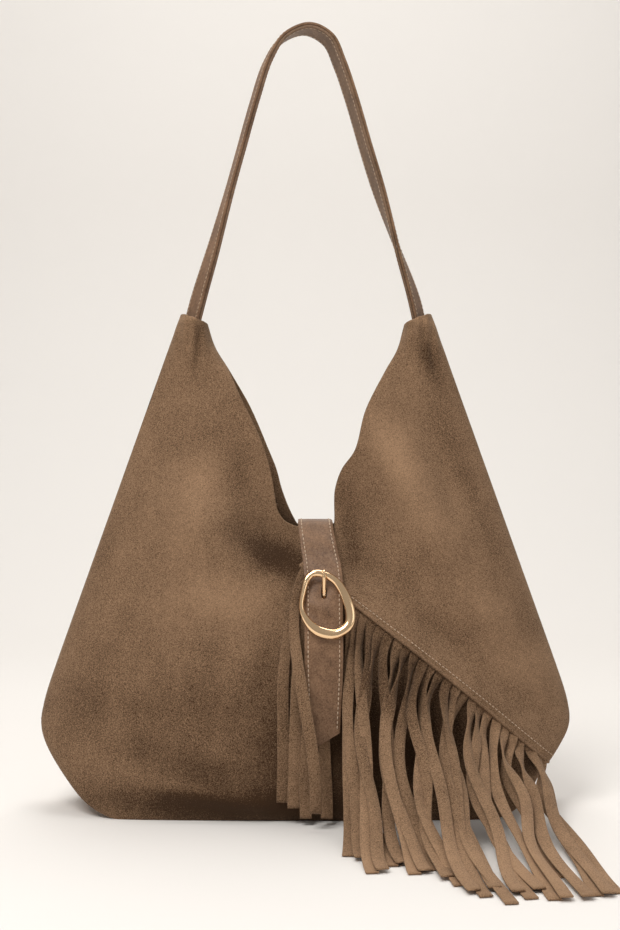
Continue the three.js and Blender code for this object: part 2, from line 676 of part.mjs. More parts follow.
// Frame: the ring with its set-back bar, cast as one piece.
function makeFrame() {
  const corner = POST_BEND;
  const barRoute = new THREE.CurvePath();
  const left = vec(POST_LEFT, 0, RING_OUT - 1);
  const right = vec(POST_RIGHT, 0, RING_OUT - 1);
  barRoute.add(new THREE.LineCurve3(left, vec(POST_LEFT, 0, corner)));
  barRoute.add(new THREE.QuadraticBezierCurve3(
    vec(POST_LEFT, 0, corner), vec(POST_LEFT, 0, 0), vec(POST_LEFT + corner, 0, 0),
  ));
  barRoute.add(new THREE.LineCurve3(vec(POST_LEFT + corner, 0, 0), vec(POST_RIGHT - corner, 0, 0)));
  barRoute.add(new THREE.QuadraticBezierCurve3(
    vec(POST_RIGHT - corner, 0, 0), vec(POST_RIGHT, 0, 0), vec(POST_RIGHT, 0, corner),
  ));
  barRoute.add(new THREE.LineCurve3(vec(POST_RIGHT, 0, corner), right));
  const bar = new THREE.ExtrudeGeometry(circleShape(BAR_RADIUS), {
    steps: 24, extrudePath: barRoute, curveSegments: 6, bevelEnabled: false,
  });
  return geometryOf(solid(makeRing()).add(solid(leanGeometry(bar))));
}

// Prong: an eye round the bar and an arm that comes through the tab and rests on the ring.
function makeProng() {
  const eye = circleShape(BAR_RADIUS + LOOP_GAP + PRONG_EYE_WALL);
  const rest = RING_OUT + RING_HALF_THICK + GAP + PRONG_THICK / 2;
  const route = [...PRONG_ROUTE, [rest, 18.5], [rest, 24], [rest - 0.1, 26.5]];
  const arm = new THREE.CatmullRomCurve3(route.map(([n, u]) => vec(n, u, 0)));
  const outline = (side) =>
    arm.getPoints(12).map((p, i) => {
      const tangent = arm.getTangent(i / 12);
      return new THREE.Vector2(p.x - side * tangent.y, p.y + side * tangent.x);
    });
  const armShape = new THREE.Shape([...outline(PRONG_THICK / 2), ...outline(-PRONG_THICK / 2).reverse()]);
  const made = solid(acrossBuckle(eye, PRONG_X, PRONG_WIDTH))
    .add(solid(acrossBuckle(armShape, PRONG_X, PRONG_WIDTH)))
    .subtract(solid(acrossBuckle(circleShape(BAR_RADIUS + LOOP_GAP), PRONG_X, PRONG_WIDTH + 2)));
  return geometryOf(made);
}

// A flat box in the buckle's plane, used to cut slots.
function buckleBox(x, width, fromU, toU, fromN, toN) {
  const box = new THREE.BoxGeometry(width, toU - fromU, toN - fromN);
  box.translate(x, (fromU + toU) / 2, (fromN + toN) / 2);
  return solid(leanGeometry(box));
}

// Distance of the chape's middle from the middle plane, where it lies on the overlay's corner.
function chapeDepth(z) {
  const faces = [-1, 0, 1].map((k) => overlayFace(BAR_X + (k * CHAPE_WIDTH) / 2, z));
  return Math.max(...faces) + 2 * GAP + CHAPE_PLY;
}

// Chape: leather folded round the bar, both plies sewn to the overlay's corner.
function makeChape() {
  const loopRadius = BAR_RADIUS + LOOP_GAP + CHAPE_PLY;
  const reachable = (z) => vec(0, -chapeDepth(z), z);
  const local = (point) => {
    const dy = point.y - barY;
    const dz = point.z - BAR_Z;
    return vec(dz * Math.sin(lean) - dy * Math.cos(lean), dy * Math.sin(lean) + dz * Math.cos(lean), 0);
  };
  const tail = new THREE.CatmullRomCurve3([
    vec(-1.9, 1.4, 0), vec(-2.6, 6, 0),
    local(reachable(202)), local(reachable(211)), local(reachable(220)), local(reachable(CHAPE_TOP)),
  ]);
  const outline = (side) =>
    tail.getPoints(14).map((p, i) => {
      const tangent = tail.getTangent(i / 14);
      return new THREE.Vector2(p.x - side * tangent.y, p.y + side * tangent.x);
    });
  const tailShape = new THREE.Shape([...outline(CHAPE_PLY), ...outline(-CHAPE_PLY).reverse()]);
  const made = solid(acrossBuckle(circleShape(loopRadius), 0, CHAPE_WIDTH))
    .add(solid(acrossBuckle(tailShape, 0, CHAPE_WIDTH)))
    .subtract(solid(acrossBuckle(circleShape(BAR_RADIUS + LOOP_GAP), 0, CHAPE_WIDTH + 2)))
    .subtract(buckleBox(PRONG_X, PRONG_WIDTH + CHAPE_SLOT_ROOM, -8, CHAPE_SLOT_TOP, -9, 9));
  return geometryOf(made);
}

// The tab's middle line, from the back panel over the mouth and down through the buckle.
function tabRoute() {
  const half = TAB_PLY + SEAM_GAP;
  const back = (z) => [Math.max(...[-8, 0, 8, 16, 24].map((x) => depthAt(x, z))) + 1.5 * GAP + half, z];
  const over = (z) => [-(chapeDepth(z) + CHAPE_PLY + 3 * GAP + half), z];
  const local = (u, n) => {
    const point = onBuckle(0, u, n);
    return [point.y, point.z];
  };
  const hang = (z, off) => [-(depthAt(TAB_MOUTH_X, z) + off), z];
  const rear = depthAt(TAB_MOUTH_X, MOUTH_Z);
  const fore = -overlayFace(LIP_MIDDLE_X, MOUTH_Z);
  return [
    back(200), back(207), back(214), back(221), back(228), back(234),
    [rear + 4.6, MOUTH_Z - 4.4], [rear + 2, MOUTH_Z - 0.6], [rear - 8, MOUTH_Z + 0.6],
    [fore + 12, MOUTH_Z + 0.2], [fore + 0.3, MOUTH_Z - 1], [fore - 4.4, MOUTH_Z - 4.8],
    over(232), over(220), over(208),
    local(16, 2.2), local(8, 4.2), local(0, 5.1), local(-10, 5.1), local(-20, 5), local(-30, 4.6),
    hang(130, 15), hang(100, 13.6), hang(TAB_TIP_Z, 10),
  ].map(([y, z]) => vec(0, y, z));
}

// One ply of the tab, between two distances off its middle line.
function makeTabPly(fromOut, toOut) {
  const curve = new THREE.CatmullRomCurve3(tabRoute(), false, "centripetal");
  const total = curve.getLength();
  const steps = TAB_STEPS;
  const columns = 5;
  const frame = (t) => {
    const p = curve.getPointAt(t);
    const tangent = curve.getTangentAt(t);
    return { p, out: vec(0, 0, 0).crossVectors(tangent, vec(1, 0, 0)).normalize() };
  };
  const middleX = (p) => (p.y > 0 ? TAB_MOUTH_X : mix(TAB_X, TAB_MOUTH_X, smooth(195, 250, p.z)));
  const halfWide = (p) => {
    const low = mix(TAB_TIP_HALF, TAB_HALF, smooth(TAB_TIP_Z, TAB_TIP_Z + 78, p.z));
    return mix(low, TAB_MOUTH_HALF, smooth(200, 240, p.z));
  };
  const layer = (distance) =>
    Array.from({ length: steps + 1 }, (_, i) =>
      Array.from({ length: columns }, (__, c) => {
        const across = (2 * c) / (columns - 1) - 1;
        const cut = (TAB_TIP_SLANT / total) * ((across + 1) / 2) * (i / steps) ** 6;
        const { p, out } = frame(i / steps - cut);
        return vec(middleX(p) + across * halfWide(p), p.y, p.z).addScaledVector(out, distance);
      }),
    );
  const ply = solid(between(layer(toOut), layer(fromOut)));
  const half = SLOT_LENGTH / 2;
  return geometryOf(ply.subtract(buckleBox(PRONG_X, SLOT_WIDTH, SLOT_U - half, SLOT_U + half, -2, 12)));
}

const suede = { color: 0x7a614c, roughness: 0.95, metalness: 0 };
const leather = { color: 0x80614c, roughness: 0.55, metalness: 0 };
const liningLeather = { color: 0x76604f, roughness: 0.7, metalness: 0 };
const gold = { color: 0xe2bd84, roughness: 0.18, metalness: 1 };

const bag = new THREE.Group();
function place(name, geometry, finish) {
  const mesh = new THREE.Mesh(geometry, new THREE.MeshStandardMaterial(finish));
  mesh.name = name;
  geometry.computeVertexNormals();
  bag.add(mesh);
}

place("back_panel", makeBackPanel(), suede);
place("front_panel", makeFrontPanel(), suede);
place("overlay_panel", makeOverlay(), suede);
place("base_gusset", makeGusset(), suede);
place("fringe", makeFringe(), suede);
place("strap_outer", makeStrapPly(SEAM_GAP, SEAM_GAP + STRAP_PLY), leather);
place("strap_lining", makeStrapPly(-SEAM_GAP - STRAP_PLY, -SEAM_GAP), liningLeather);
place("closure_tab", makeTabPly(SEAM_GAP, SEAM_GAP + TAB_PLY), leather);
place("closure_tab_lining", makeTabPly(-SEAM_GAP - TAB_PLY, -SEAM_GAP), liningLeather);
place("buckle_frame", makeFrame(), gold);
place("buckle_prong", makeProng(), gold);
place("buckle_chape", makeChape(), leather);

export default bag;
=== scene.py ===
"""Looks of a large slouchy suede shoulder bag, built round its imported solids.

Metres, +Z up, front towards -Y.
"""
import math

import bmesh
import bpy
import numpy as np
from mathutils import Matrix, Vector


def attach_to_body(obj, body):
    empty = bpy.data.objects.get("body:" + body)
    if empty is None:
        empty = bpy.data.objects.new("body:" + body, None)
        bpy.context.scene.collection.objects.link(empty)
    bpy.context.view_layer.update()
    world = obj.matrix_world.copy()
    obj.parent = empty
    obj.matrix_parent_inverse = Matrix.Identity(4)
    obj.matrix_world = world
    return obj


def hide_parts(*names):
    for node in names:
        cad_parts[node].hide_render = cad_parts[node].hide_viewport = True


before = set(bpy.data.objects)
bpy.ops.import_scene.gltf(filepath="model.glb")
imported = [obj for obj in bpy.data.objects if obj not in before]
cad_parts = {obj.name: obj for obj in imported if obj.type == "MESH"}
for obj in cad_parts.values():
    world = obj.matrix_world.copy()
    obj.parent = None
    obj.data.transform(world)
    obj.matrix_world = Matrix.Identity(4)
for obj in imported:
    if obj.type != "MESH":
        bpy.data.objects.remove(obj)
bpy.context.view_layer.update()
scene = bpy.context.scene
scene.view_settings.view_transform = "Standard"


# Camera: level with the buckle's upper edge and 1.1 m in front of the bag, with a lens a little longer
# than normal, as for a product shot.
camera_data = bpy.data.cameras.new("camera")
camera_data.lens = 49.5
camera_data.sensor_width = 36
camera_data.clip_start = 0.05
camera = bpy.data.objects.new("camera", camera_data)
camera.location = (0.0034, -1.1, 0.292)
camera.rotation_euler = (math.pi / 2, 0, 0)
scene.collection.objects.link(camera)
scene.camera = camera


# Backdrop: one sweep of pale matt paper. It lies under the bag and rises behind it in a wide curve to
# the wall, so that no line shows where the floor ends.
def new_mesh(name, points, faces, caps=()):
    """A smooth mesh object at the origin from arrays of points and quads, and lists of end caps."""
    mesh = bpy.data.meshes.new(name)
    sides = np.asarray(faces, int).tolist() + [list(map(int, cap)) for cap in caps]
    mesh.from_pydata(np.asarray(points, float).tolist(), [], sides)
    mesh.polygons.foreach_set("use_smooth", np.full(len(mesh.polygons), True))
    mesh.update()
    made = bpy.data.objects.new(name, mesh)
    scene.collection.objects.link(made)
    return made


def grid_faces(rows, cols, wrap_rows=False, wrap_cols=False):
    """Quads between neighbouring points of a rows by cols grid, joined end to end where it wraps."""
    r = np.arange(rows if wrap_rows else rows - 1)[:, None]
    c = np.arange(cols if wrap_cols else cols - 1)[None, :]
    r2, c2 = (r + 1) % rows, (c + 1) % cols
    quads = [r * cols + c, r * cols + c2, r2 * cols + c2, r2 * cols + c]
    return np.stack(np.broadcast_arrays(*quads), -1).reshape(-1, 4)


def set_inputs(made, **values):
    """Sets a node's own values, named as its inputs are but with _ for a space."""
    for key, value in values.items():
        made.inputs[key.replace("_", " ")].default_value = value


def finish_material(name, **values):
    """A new material with its own surface shader; returns the material, its tree and the shader."""
    made = bpy.data.materials.new(name)
    made.use_nodes = True
    shader = made.node_tree.nodes["Principled BSDF"]
    set_inputs(shader, **values)
    return made, made.node_tree, shader


sweep_radius, sweep_start, sweep_drop = 0.9, 0.9, 0.0004
sweep_turn = np.linspace(0, math.pi / 2, 24)
wall_y, wall_top = sweep_start + sweep_radius, 3.2
sweep_y = np.concatenate([[-3.0, -1.0], sweep_start + sweep_radius * np.sin(sweep_turn), [wall_y]])
sweep_z = np.concatenate([[0.0, 0.0], sweep_radius * (1 - np.cos(sweep_turn)), [wall_top]]) - sweep_drop
sweep_x = np.linspace(-4, 4, 9)
sweep_grid = np.stack(np.broadcast_arrays(sweep_x, sweep_y[:, None], sweep_z[:, None]), -1)
sweep = new_mesh("sweep", sweep_grid.reshape(-1, 3), grid_faces(len(sweep_y), len(sweep_x)))
paper = finish_material(
    "pale_paper", Roughness=0.9, Base_Color=(0.8, 0.772, 0.742, 1), Specular_IOR_Level=0.1
)[0]
sweep.data.materials.append(paper)


# Lights: a wide soft box above the camera, a weaker one at the right and one overhead. A pale room
# fills in the shadows.
def soft_box(name, place, size, power):
    """A square lamp of that size at place, turned to face the middle of the bag."""
    lamp = bpy.data.lights.new(name, "AREA")
    lamp.shape = "SQUARE"
    lamp.size = size
    lamp.energy = power
    lamp.color = (1, 0.985, 0.96)
    made = bpy.data.objects.new(name, lamp)
    made.location = place
    made.rotation_euler = (Vector((0, 0, 0.3)) - Vector(place)).to_track_quat("-Z", "Y").to_euler()
    scene.collection.objects.link(made)


soft_box("key_light", (-0.75, -1.3, 2.1), 1.0, 39)
soft_box("fill_light", (1.8, -1.3, 1.0), 1.2, 5)
soft_box("top_light", (0.1, 0.5, 2.4), 1.6, 28)
room = bpy.data.worlds.new("room")
room.use_nodes = True
set_inputs(room.node_tree.nodes["Background"], Color=(1, 0.985, 0.965, 1), Strength=0.365)
scene.world = room


# Back panel: one piece of brown split suede across the whole back, up to the mouth and round both
# tips, with a brushed nap and painted shade and highlight in its colour. It is sewn to the front along
# the sides and to the base along the floor.
def node(tree, kind, **values):
    """A new node with its own values set by name."""
    made = tree.nodes.new(kind)
    set_inputs(made, **values)
    return made


def noise(tree, vector, scale, detail=2.0, roughness=0.5, stretch=None):
    """Even noise from 0 to 1 read at vector, with `scale` cells a metre; stretch squeezes it by axis."""
    if stretch:
        mapping = node(tree, "ShaderNodeMapping", Scale=stretch)
        tree.links.new(vector, mapping.inputs["Vector"])
        vector = mapping.outputs["Vector"]
    made = node(tree, "ShaderNodeTexNoise", Scale=scale, Detail=detail, Roughness=roughness)
    tree.links.new(vector, made.inputs["Vector"])
    return made.outputs["Fac"]


def math_node(tree, operation, *values):
    """A maths node; each value is a number or an output."""
    made = tree.nodes.new("ShaderNodeMath")
    made.operation = operation
    for i, value in enumerate(values):
        if isinstance(value, (int, float)):
            made.inputs[i].default_value = value
        else:
            tree.links.new(value, made.inputs[i])
    return made.outputs[0]


def weighted(tree, *pairs):
    """The sum of outputs, each less 0.5 and times its weight, with 0.5 added, kept between 0 and 1."""
    total = 0.5
    for output, weight in pairs:
        centred = math_node(tree, "MULTIPLY_ADD", output, weight, -0.5 * weight)
        total = math_node(tree, "ADD", centred, total)
    return math_node(tree, "MAXIMUM", math_node(tree, "MINIMUM", total, 1.0), 0.0)


def mixed(tree, share, first, second):
    """Colour between first and second by share; each is an output or a colour."""
    made = tree.nodes.new("ShaderNodeMix")
    made.data_type = "RGBA"
    tree.links.new(share, made.inputs["Factor"])
    for key, value in (("A", first), ("B", second)):
        socket = next(s for s in made.inputs if s.name == key and s.type == "RGBA")
        if isinstance(value, tuple):
            socket.default_value = value
        else:
            tree.links.new(value, socket)
    return next(s for s in made.outputs if s.type == "RGBA")


def object_place(tree):
    """The output that gives each point's place, to read patterns at."""
    return tree.nodes.new("ShaderNodeTexCoord").outputs["Object"]


def add_bump(tree, shader, height, strength, distance):
    """Tilts a surface's normals by a height output."""
    bump = node(tree, "ShaderNodeBump", Strength=strength, Distance=distance)
    tree.links.new(height, bump.inputs["Height"])
    tree.links.new(bump.outputs["Normal"], shader.inputs["Normal"])


def suede_finish():
    """Matt brown suede with a soft sheen. Its colour is broad clouds, short strokes, fine fibres and
    lint, plus each piece's painted shade and highlight, partly how its nap lies; the fibres also stand up
    a little."""
    made, tree, shader = finish_material(
        "suede_with_painted_shade", Roughness=0.92, Specular_IOR_Level=0.12, Sheen_Weight=0.1,
        Sheen_Roughness=0.55, Sheen_Tint=(0.9, 0.76, 0.62, 1),
    )
    dark, light = (0.04, 0.019, 0.008, 1), (0.345, 0.212, 0.124, 1)
    place = object_place(tree)
    clouds = noise(tree, place, 14, 5, 0.6)
    strokes = noise(tree, place, 60, 3, 0.6, (1, 1, 0.45))
    fibres = noise(tree, place, 1000, 2, 0.7)
    lint = noise(tree, place, 1900, 1, 0.5)
    # Each piece's painted shade and highlight, partly how its nap lies, darkens or lightens this colour.
    stored = tree.nodes.new("ShaderNodeAttribute")
    stored.attribute_name = "nap_and_painted_shade"
    nap_and_painted_shade = math_node(tree, "ADD", stored.outputs["Fac"], 0.5)
    fine = weighted(tree, (strokes, 0.3), (fibres, 1.45), (lint, 1.4))
    share = weighted(tree, (clouds, 0.55), (fine, 1.0), (nap_and_painted_shade, 1.0))
    tree.links.new(mixed(tree, share, dark, light), shader.inputs["Base Color"])
    add_bump(tree, shader, weighted(tree, (fibres, 0.6), (lint, 0.5), (strokes, 0.35)), 0.35, 0.0006)
    return made


suede = suede_finish()


def paint_nap_and_shade(piece, shade):
    """Stores painted shade and highlight at each point, partly how the nap lies, as shade of its x, y and
    z: dark below 0 and light above.
    """
    place = np.empty(len(piece.data.vertices) * 3)
    piece.data.vertices.foreach_get("co", place)
    stored = piece.data.attributes.new("nap_and_painted_shade", "FLOAT", "POINT")
    stored.data.foreach_set("value", shade(*place.reshape(-1, 3).T).astype(np.float32))


def painted_shade_spots(*spots):
    """The painted shade and highlight made by soft spots, each given as x and z of its middle, its tilt
    in degrees, half its length and width, all in millimetres, and its strength."""
    def shade(x, y, z):
        """The sum over the spots of strength times a bell of the distance along and across."""
        total = 0 * x
        for mid_x, mid_z, tilt, long, wide, strength in spots:
            c, s = math.cos(math.radians(tilt)), math.sin(math.radians(tilt))
            along = ((x * 1000 - mid_x) * c + (z * 1000 - mid_z) * s) / long
            across = ((z * 1000 - mid_z) * c - (x * 1000 - mid_x) * s) / wide
            total = total + strength * np.exp(-(along**2) - across**2)
        return total

    return shade


# Its shape, which the other panels share: two straight slants a side, flat on the floor, deep in the
# belly and narrow at the tips. A lip is the mouth's edge from the middle up to a tip.
tip_height, tip_outer, tip_inner, tip_slant = 0.417, 0.1093, 0.0845, 0.008
top_z, inner_z = tip_height + tip_slant / 2, tip_height - tip_slant / 2
corner_height, corner_outer, corner_soft = 0.068, 0.234, 0.012
base_outer, base_round, base_round_height = 0.1764, 0.018, 0.007
widest_height = 0.076
pull_in, pull_height, pull_spread = 0.008, 0.038, 0.026
belly, neck, neck_height = 0.054, 0.012, 0.430
base_tuck, base_tuck_height = 0.016, 0.018
base_half_depth, gusset_height = 0.044, 0.085
tip_half_depth, sleeve_start, sleeve_end = 0.0175, 0.345, 0.405
pinch, pinch_x, pinch_width, pinch_z, pinch_height = 0.022, 0.012, 0.062, 0.250, 0.060
pleat, pleat_x, pleat_pitch, pleat_turn = 0.0011, 0.084, 0.0085, 9
suede_thick, seam_gap, rim_points = 0.0018, 0.00015, 3
lip_back = np.array([
    (8, 240.5), (14, 252), (21, 270), (26, 288), (33, 305), (48, 340), (67, 375), (78, 393),
]) * 0.001


def step(start, end, value):
    """0 up to start, 1 from end, and a smooth S between them."""
    share = np.clip((value - start) / (end - start), 0, 1)
    return share * share * (3 - 2 * share)


def half_width(z, x):
    """Half the width at height z: the lower of two slants, blended softly, rounded at the floor; the
    right side is drawn in by the seam that ends there."""
    upper = corner_outer + (tip_outer - corner_outer) * (z - corner_height) / (tip_height - corner_height)
    lower = base_outer + (corner_outer - base_outer) * z / corner_height
    soft = -corner_soft * np.log(np.exp(-upper / corner_soft) + np.exp(-lower / corner_soft))
    pull = np.where(x > 0, pull_in * np.exp(-(((z - pull_height) / pull_spread) ** 2)), 0)
    return soft - base_round * np.exp(-z / base_round_height) - pull


def gusset_depth(z):
    """Half depth of the base piece: full at the floor, and nothing at the widest corner."""
    return base_half_depth * np.maximum(0, 1 - z / gusset_height)


def share_left(x, z):
    """Share of the full depth left at x: 1 in the middle, 0 at the side seam."""
    return (1 - np.minimum(1, np.abs(x) / half_width(z, x)) ** 2) ** 0.6


def body_depth(x, z):
    """Distance of the outer face from the middle plane: a belly less the pinch where the tab crosses,
    turning into half an oval tube in the sleeves."""
    z = np.maximum(z, 0)
    full = neck + belly * (1 - (z / neck_height) ** 1.4) - base_tuck * np.exp(-z / base_tuck_height)
    edge = gusset_depth(z)
    drawn = pinch * np.exp(-(((x - pinch_x) / pinch_width) ** 4) - ((z - pinch_z) / pinch_height) ** 2)
    share = share_left(x, z)
    body = edge + (full - edge - drawn) * share
    ends = np.vstack([lip_back[-3:], [tip_inner, tip_height - tip_slant]])
    inner, outer = np.interp(z, ends[:, 1], ends[:, 0]), half_width(z, 0)
    offset = (np.abs(x) - (inner + outer) / 2) / ((outer - inner) / 2)
    sleeve = tip_half_depth * np.sqrt(np.maximum(0, 1 - offset**2))
    blend = step(sleeve_start, sleeve_end, z)
    return np.maximum(0, body * (1 - blend) + sleeve * blend)


def folds(x, z, *lines):
    """Soft ridges, each given as x and z of both ends, its width and its height, in millimetres: height
    times a bell of the distance from that line, fading beyond its ends. Below 0 they are dents."""
    total = 0 * x
    for x1, z1, x2, z2, width, height in np.array(lines) * 0.001:
        length = np.hypot(x2 - x1, z2 - z1)
        along = ((x - x1) * (x2 - x1) + (z - z1) * (z2 - z1)) / length
        across = ((z - z1) * (x2 - x1) - (x - x1) * (z2 - z1)) / length
        fade = step(-1.2 * width, width, along) * step(-1.2 * width, width, length - along)
        total = total + height * np.exp(-((across / width) ** 2)) * fade
    return total


def gathers(x, z):
    """Small upright pleats where each tip is drawn in round the strap's end, fading 45 mm down."""
    wave = np.sin((np.abs(x) - pleat_x) * 2 * math.pi / pleat_pitch + pleat_turn * (z - 0.4))
    return pleat * step(0.365, 0.415, z) * wave


def smooth_line(points, count):
    """Evenly spaced points on a smooth curve through the given ones: cubic pieces whose steps are the
    square roots of the distances, so that it doesn't overshoot."""
    p = np.asarray(points, float)
    p = np.vstack([2 * p[0] - p[1], p, 2 * p[-1] - p[-2]])
    gaps = np.maximum(np.linalg.norm(np.diff(p, axis=0), axis=1), 1e-9) ** 0.5
    dense = np.linspace(0, len(points) - 1, 60 * len(points))
    i = np.minimum(dense.astype(int), len(points) - 2)
    f = (dense - i)[:, None]
    d0, d1, d2 = (gaps[i + k][:, None] for k in range(3))
    a, b, c, d = (p[i + k] for k in range(4))
    leave = d1 * ((b - a) / d0 - (c - a) / (d0 + d1) + (c - b) / d1)
    arrive = d1 * ((c - b) / d1 - (d - b) / (d1 + d2) + (d - c) / d2)
    curve = (
        (2 * f**3 - 3 * f**2 + 1) * b + (f**3 - 2 * f**2 + f) * leave
        + (3 * f**2 - 2 * f**3) * c + (f**3 - f**2) * arrive
    )
    run = np.concatenate([[0], np.cumsum(np.linalg.norm(np.diff(curve, axis=0), axis=1))])
    at = np.linspace(0, run[-1], count) if np.isscalar(count) else np.asarray(count) * run[-1]
    return np.stack([np.interp(at, run, curve[:, k]) for k in range(curve.shape[1])], -1)


def fill_edges(bottom, top, left, right, rows):
    """A grid of points inside four edges: the blend from bottom to top, plus the blend from left to
    right, less the blend of the four corners."""
    u = np.linspace(0, 1, len(bottom))[None, :, None]
    v = rows[:, None, None]
    low, high = (1 - v) * bottom, v * top
    corners = (1 - u) * (low[:, :1] + high[:, :1]) + u * (low[:, -1:] + high[:, -1:])
    return low + high + (1 - u) * left[:, None] + u * right[:, None] - corners


def floor_edge(slant, floor):
    """Bottom edge of a panel, from one widest corner down the slant, along the floor and up again."""
    z = widest_height * (1 - np.arange(slant) / slant) ** 1.5
    x = np.linspace(-half_width(0.0, -1), half_width(0.0, 1), floor + 1)
    left = np.stack([-half_width(z, -1), z], -1)
    right = np.stack([half_width(z, 1), z], -1)[::-1]
    return np.vstack([left, np.stack([x, 0 * x], -1), right])


def sleeve_top(side, count):
    """Top edge of a sleeve from its outer to its inner corner, closer together at the corners."""
    t = (1 - np.cos(np.linspace(0, math.pi, count))) / 2
    outer = half_width(top_z, 0)
    return np.stack([side * (outer + (tip_inner - outer) * t), top_z - tip_slant * t], -1)


def side_edge(side, low, high, rows):
    """Side seam from height low to height high."""
    z = low + (high - low) * rows
    return np.stack([side * half_width(z, side), z], -1)


def lip_down(lip, count):
    """A lip from the end of the sleeve down to the lowest point of the mouth."""
    return smooth_line(np.vstack([lip, [tip_inner, inner_z]]), count + 1)[::-1][1:]


def unit(vectors):
    """The vectors at length 1."""
    return vectors / np.maximum(np.linalg.norm(vectors, axis=-1, keepdims=True), 1e-12)


def surface_normals(grid, towards):
    """Normals of a grid of points, from its neighbours' differences, on the side of `towards`."""
    normal = unit(np.cross(np.gradient(grid, axis=0), np.gradient(grid, axis=1)))
    flip = np.sign((normal * np.asarray(towards)).sum(-1, keepdims=True))
    return normal * np.where(flip == 0, 1, flip)


def half_round(first, last, before):
    """Half a circle of points from the first edge to the last, bulging away from the row before."""
    middle, half = (first + last) / 2, (first - last) / 2
    bulge = unit(first - before) * np.linalg.norm(half, axis=-1, keepdims=True)
    angle = np.linspace(0, math.pi, rim_points + 2)[1:-1, None, None]
    return middle + half * np.cos(angle) + bulge * np.sin(angle)


def skin(name, outer, inner):
    """A closed skin between two grids: half-round rims join their first and last rows, plain rims
    their sides."""
    loop = np.concatenate([
        outer, half_round(outer[-1], inner[-1], outer[-2]),
        inner[::-1], half_round(inner[0], outer[0], inner[1]),
    ])
    rows, cols = loop.shape[:2]
    half = np.arange(rows // 2)
    mate = (len(outer) * 2 + rim_points - 1 - half) % rows
    side = np.stack([half[:-1], mate[:-1], mate[1:], half[1:]], -1) * cols
    faces = [grid_faces(rows, cols, wrap_rows=True), side, side[:, ::-1] + cols - 1]
    return new_mesh(name, loop.reshape(-1, 3), np.vstack(faces))


def panel(name, grid, side):
    """A suede panel under a grid of points on its outer face; side is 1 behind and -1 in front. Its
    inner face keeps off the middle plane, the base piece and the floor."""
    inner = grid - suede_thick * surface_normals(grid, (0, side, 0))
    least = gusset_depth(inner[..., 2]) + seam_gap
    inner[..., 1] = side * np.maximum(side * inner[..., 1], least)
    inner[..., 2] = np.maximum(inner[..., 2], 0)
    return skin(name, grid, inner)


def lay(flat, face, side):
    """Puts flat points (x, z) on a face: y is side times its distance from the middle plane."""
    x, z = flat[..., 0], flat[..., 1]
    return np.stack([x, side * face(x, z), z], -1)


def face_outwards(piece):
    """Makes a closed mesh's faces point outwards, after its doubled points are merged."""
    made = bmesh.new()
    made.from_mesh(piece.data)
    bmesh.ops.remove_doubles(made, verts=made.verts, dist=1e-6)
    bmesh.ops.recalc_face_normals(made, faces=made.faces)
    made.to_mesh(piece.data)
    made.free()
    piece.data.update()


def attach(piece, material, body, slot, *nodes):
    """Gives a piece its finish and its body, and hides the nodes that it stands for; slot is not used."""
    face_outwards(piece)
    piece.data.materials.append(material)
    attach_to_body(piece, body)
    if nodes:
        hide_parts(*nodes)


def back_face(x, z):
    """Distance of the back's face behind the middle plane: the body with its slack and its pleats."""
    slump = share_left(x, z) * folds(
        x, z, (-130, 50, 20, 120, 45, -4), (150, 240, 60, 100, 30, 3), (-120, 260, -50, 130, 28, 3),
        (20, 70, 160, 45, 30, -3),
    )
    return np.maximum(body_depth(x, z) + slump + gathers(x, z), gusset_depth(z) + seam_gap)


panel_rows = np.linspace(0, 1, 120)
slant_count, floor_count, tip_count = 26, 84, 26
bottom = floor_edge(slant_count, floor_count)
left_side = side_edge(-1, widest_height, top_z, panel_rows)
lip_count = len(bottom) - 2 * tip_count
left_count = lip_count // 2
lip_back_right = lip_back + np.array([[0.016, 0]] * 6 + [[0.006, 0], [0.002, 0]])
back_top = np.vstack([
    sleeve_top(-1, tip_count), lip_down(lip_back, left_count) * [-1, 1],
    lip_down(lip_back_right, lip_count - left_count)[::-1], sleeve_top(1, tip_count)[::-1],
])
back_right = side_edge(1, widest_height, top_z, panel_rows)
back_grid = lay(fill_edges(bottom, back_top, left_side, back_right, panel_rows), back_face, 1)
back_panel = panel("back_panel_suede", back_grid, 1)
attach(back_panel, suede, "bag", "suede", "back_panel")
# Painted shade along the floor and in two patches, and a painted highlight low on the right, partly how
# the nap lies.
paint_nap_and_shade(back_panel, painted_shade_spots(
    (0, 20, 0, 190, 26, -0.25), (-60, 200, 30, 60, 26, -0.16), (70, 120, -20, 70, 30, 0.14),
    (120, 270, -60, 50, 22, -0.14),
))


# Front panel: suede over the left half and along the bottom, sewn to the back and the base. Its upper
# edge runs on under the overlay to the right side seam, below the line of the crossing seam.
seam_start_x, seam_mid_z, seam_fall, seam_bow, seam_lift = -0.005, 0.206, 0.7, 0.5, 0.0049
tuck, under_z = 0.0032, 0.262
lip_front = np.array([
    (9, 239.5), (18, 244), (24.5, 255), (28, 277), (36, 307), (56, 350), (67, 375), (78, 393),
]) * 0.001


def seam_z(x):
    """Height of the seam at x: a straight fall with a slight bow."""
    return seam_mid_z - seam_fall * x - seam_bow * x**2


def seam_slope(x):
    """How steeply the seam falls at x."""
    return seam_fall + 2 * seam_bow * x


def above_seam(x, z):
    """Distance above the seam, square to it in the front view."""
    return (z - seam_z(x)) * np.cos(np.arctan(seam_slope(x)))


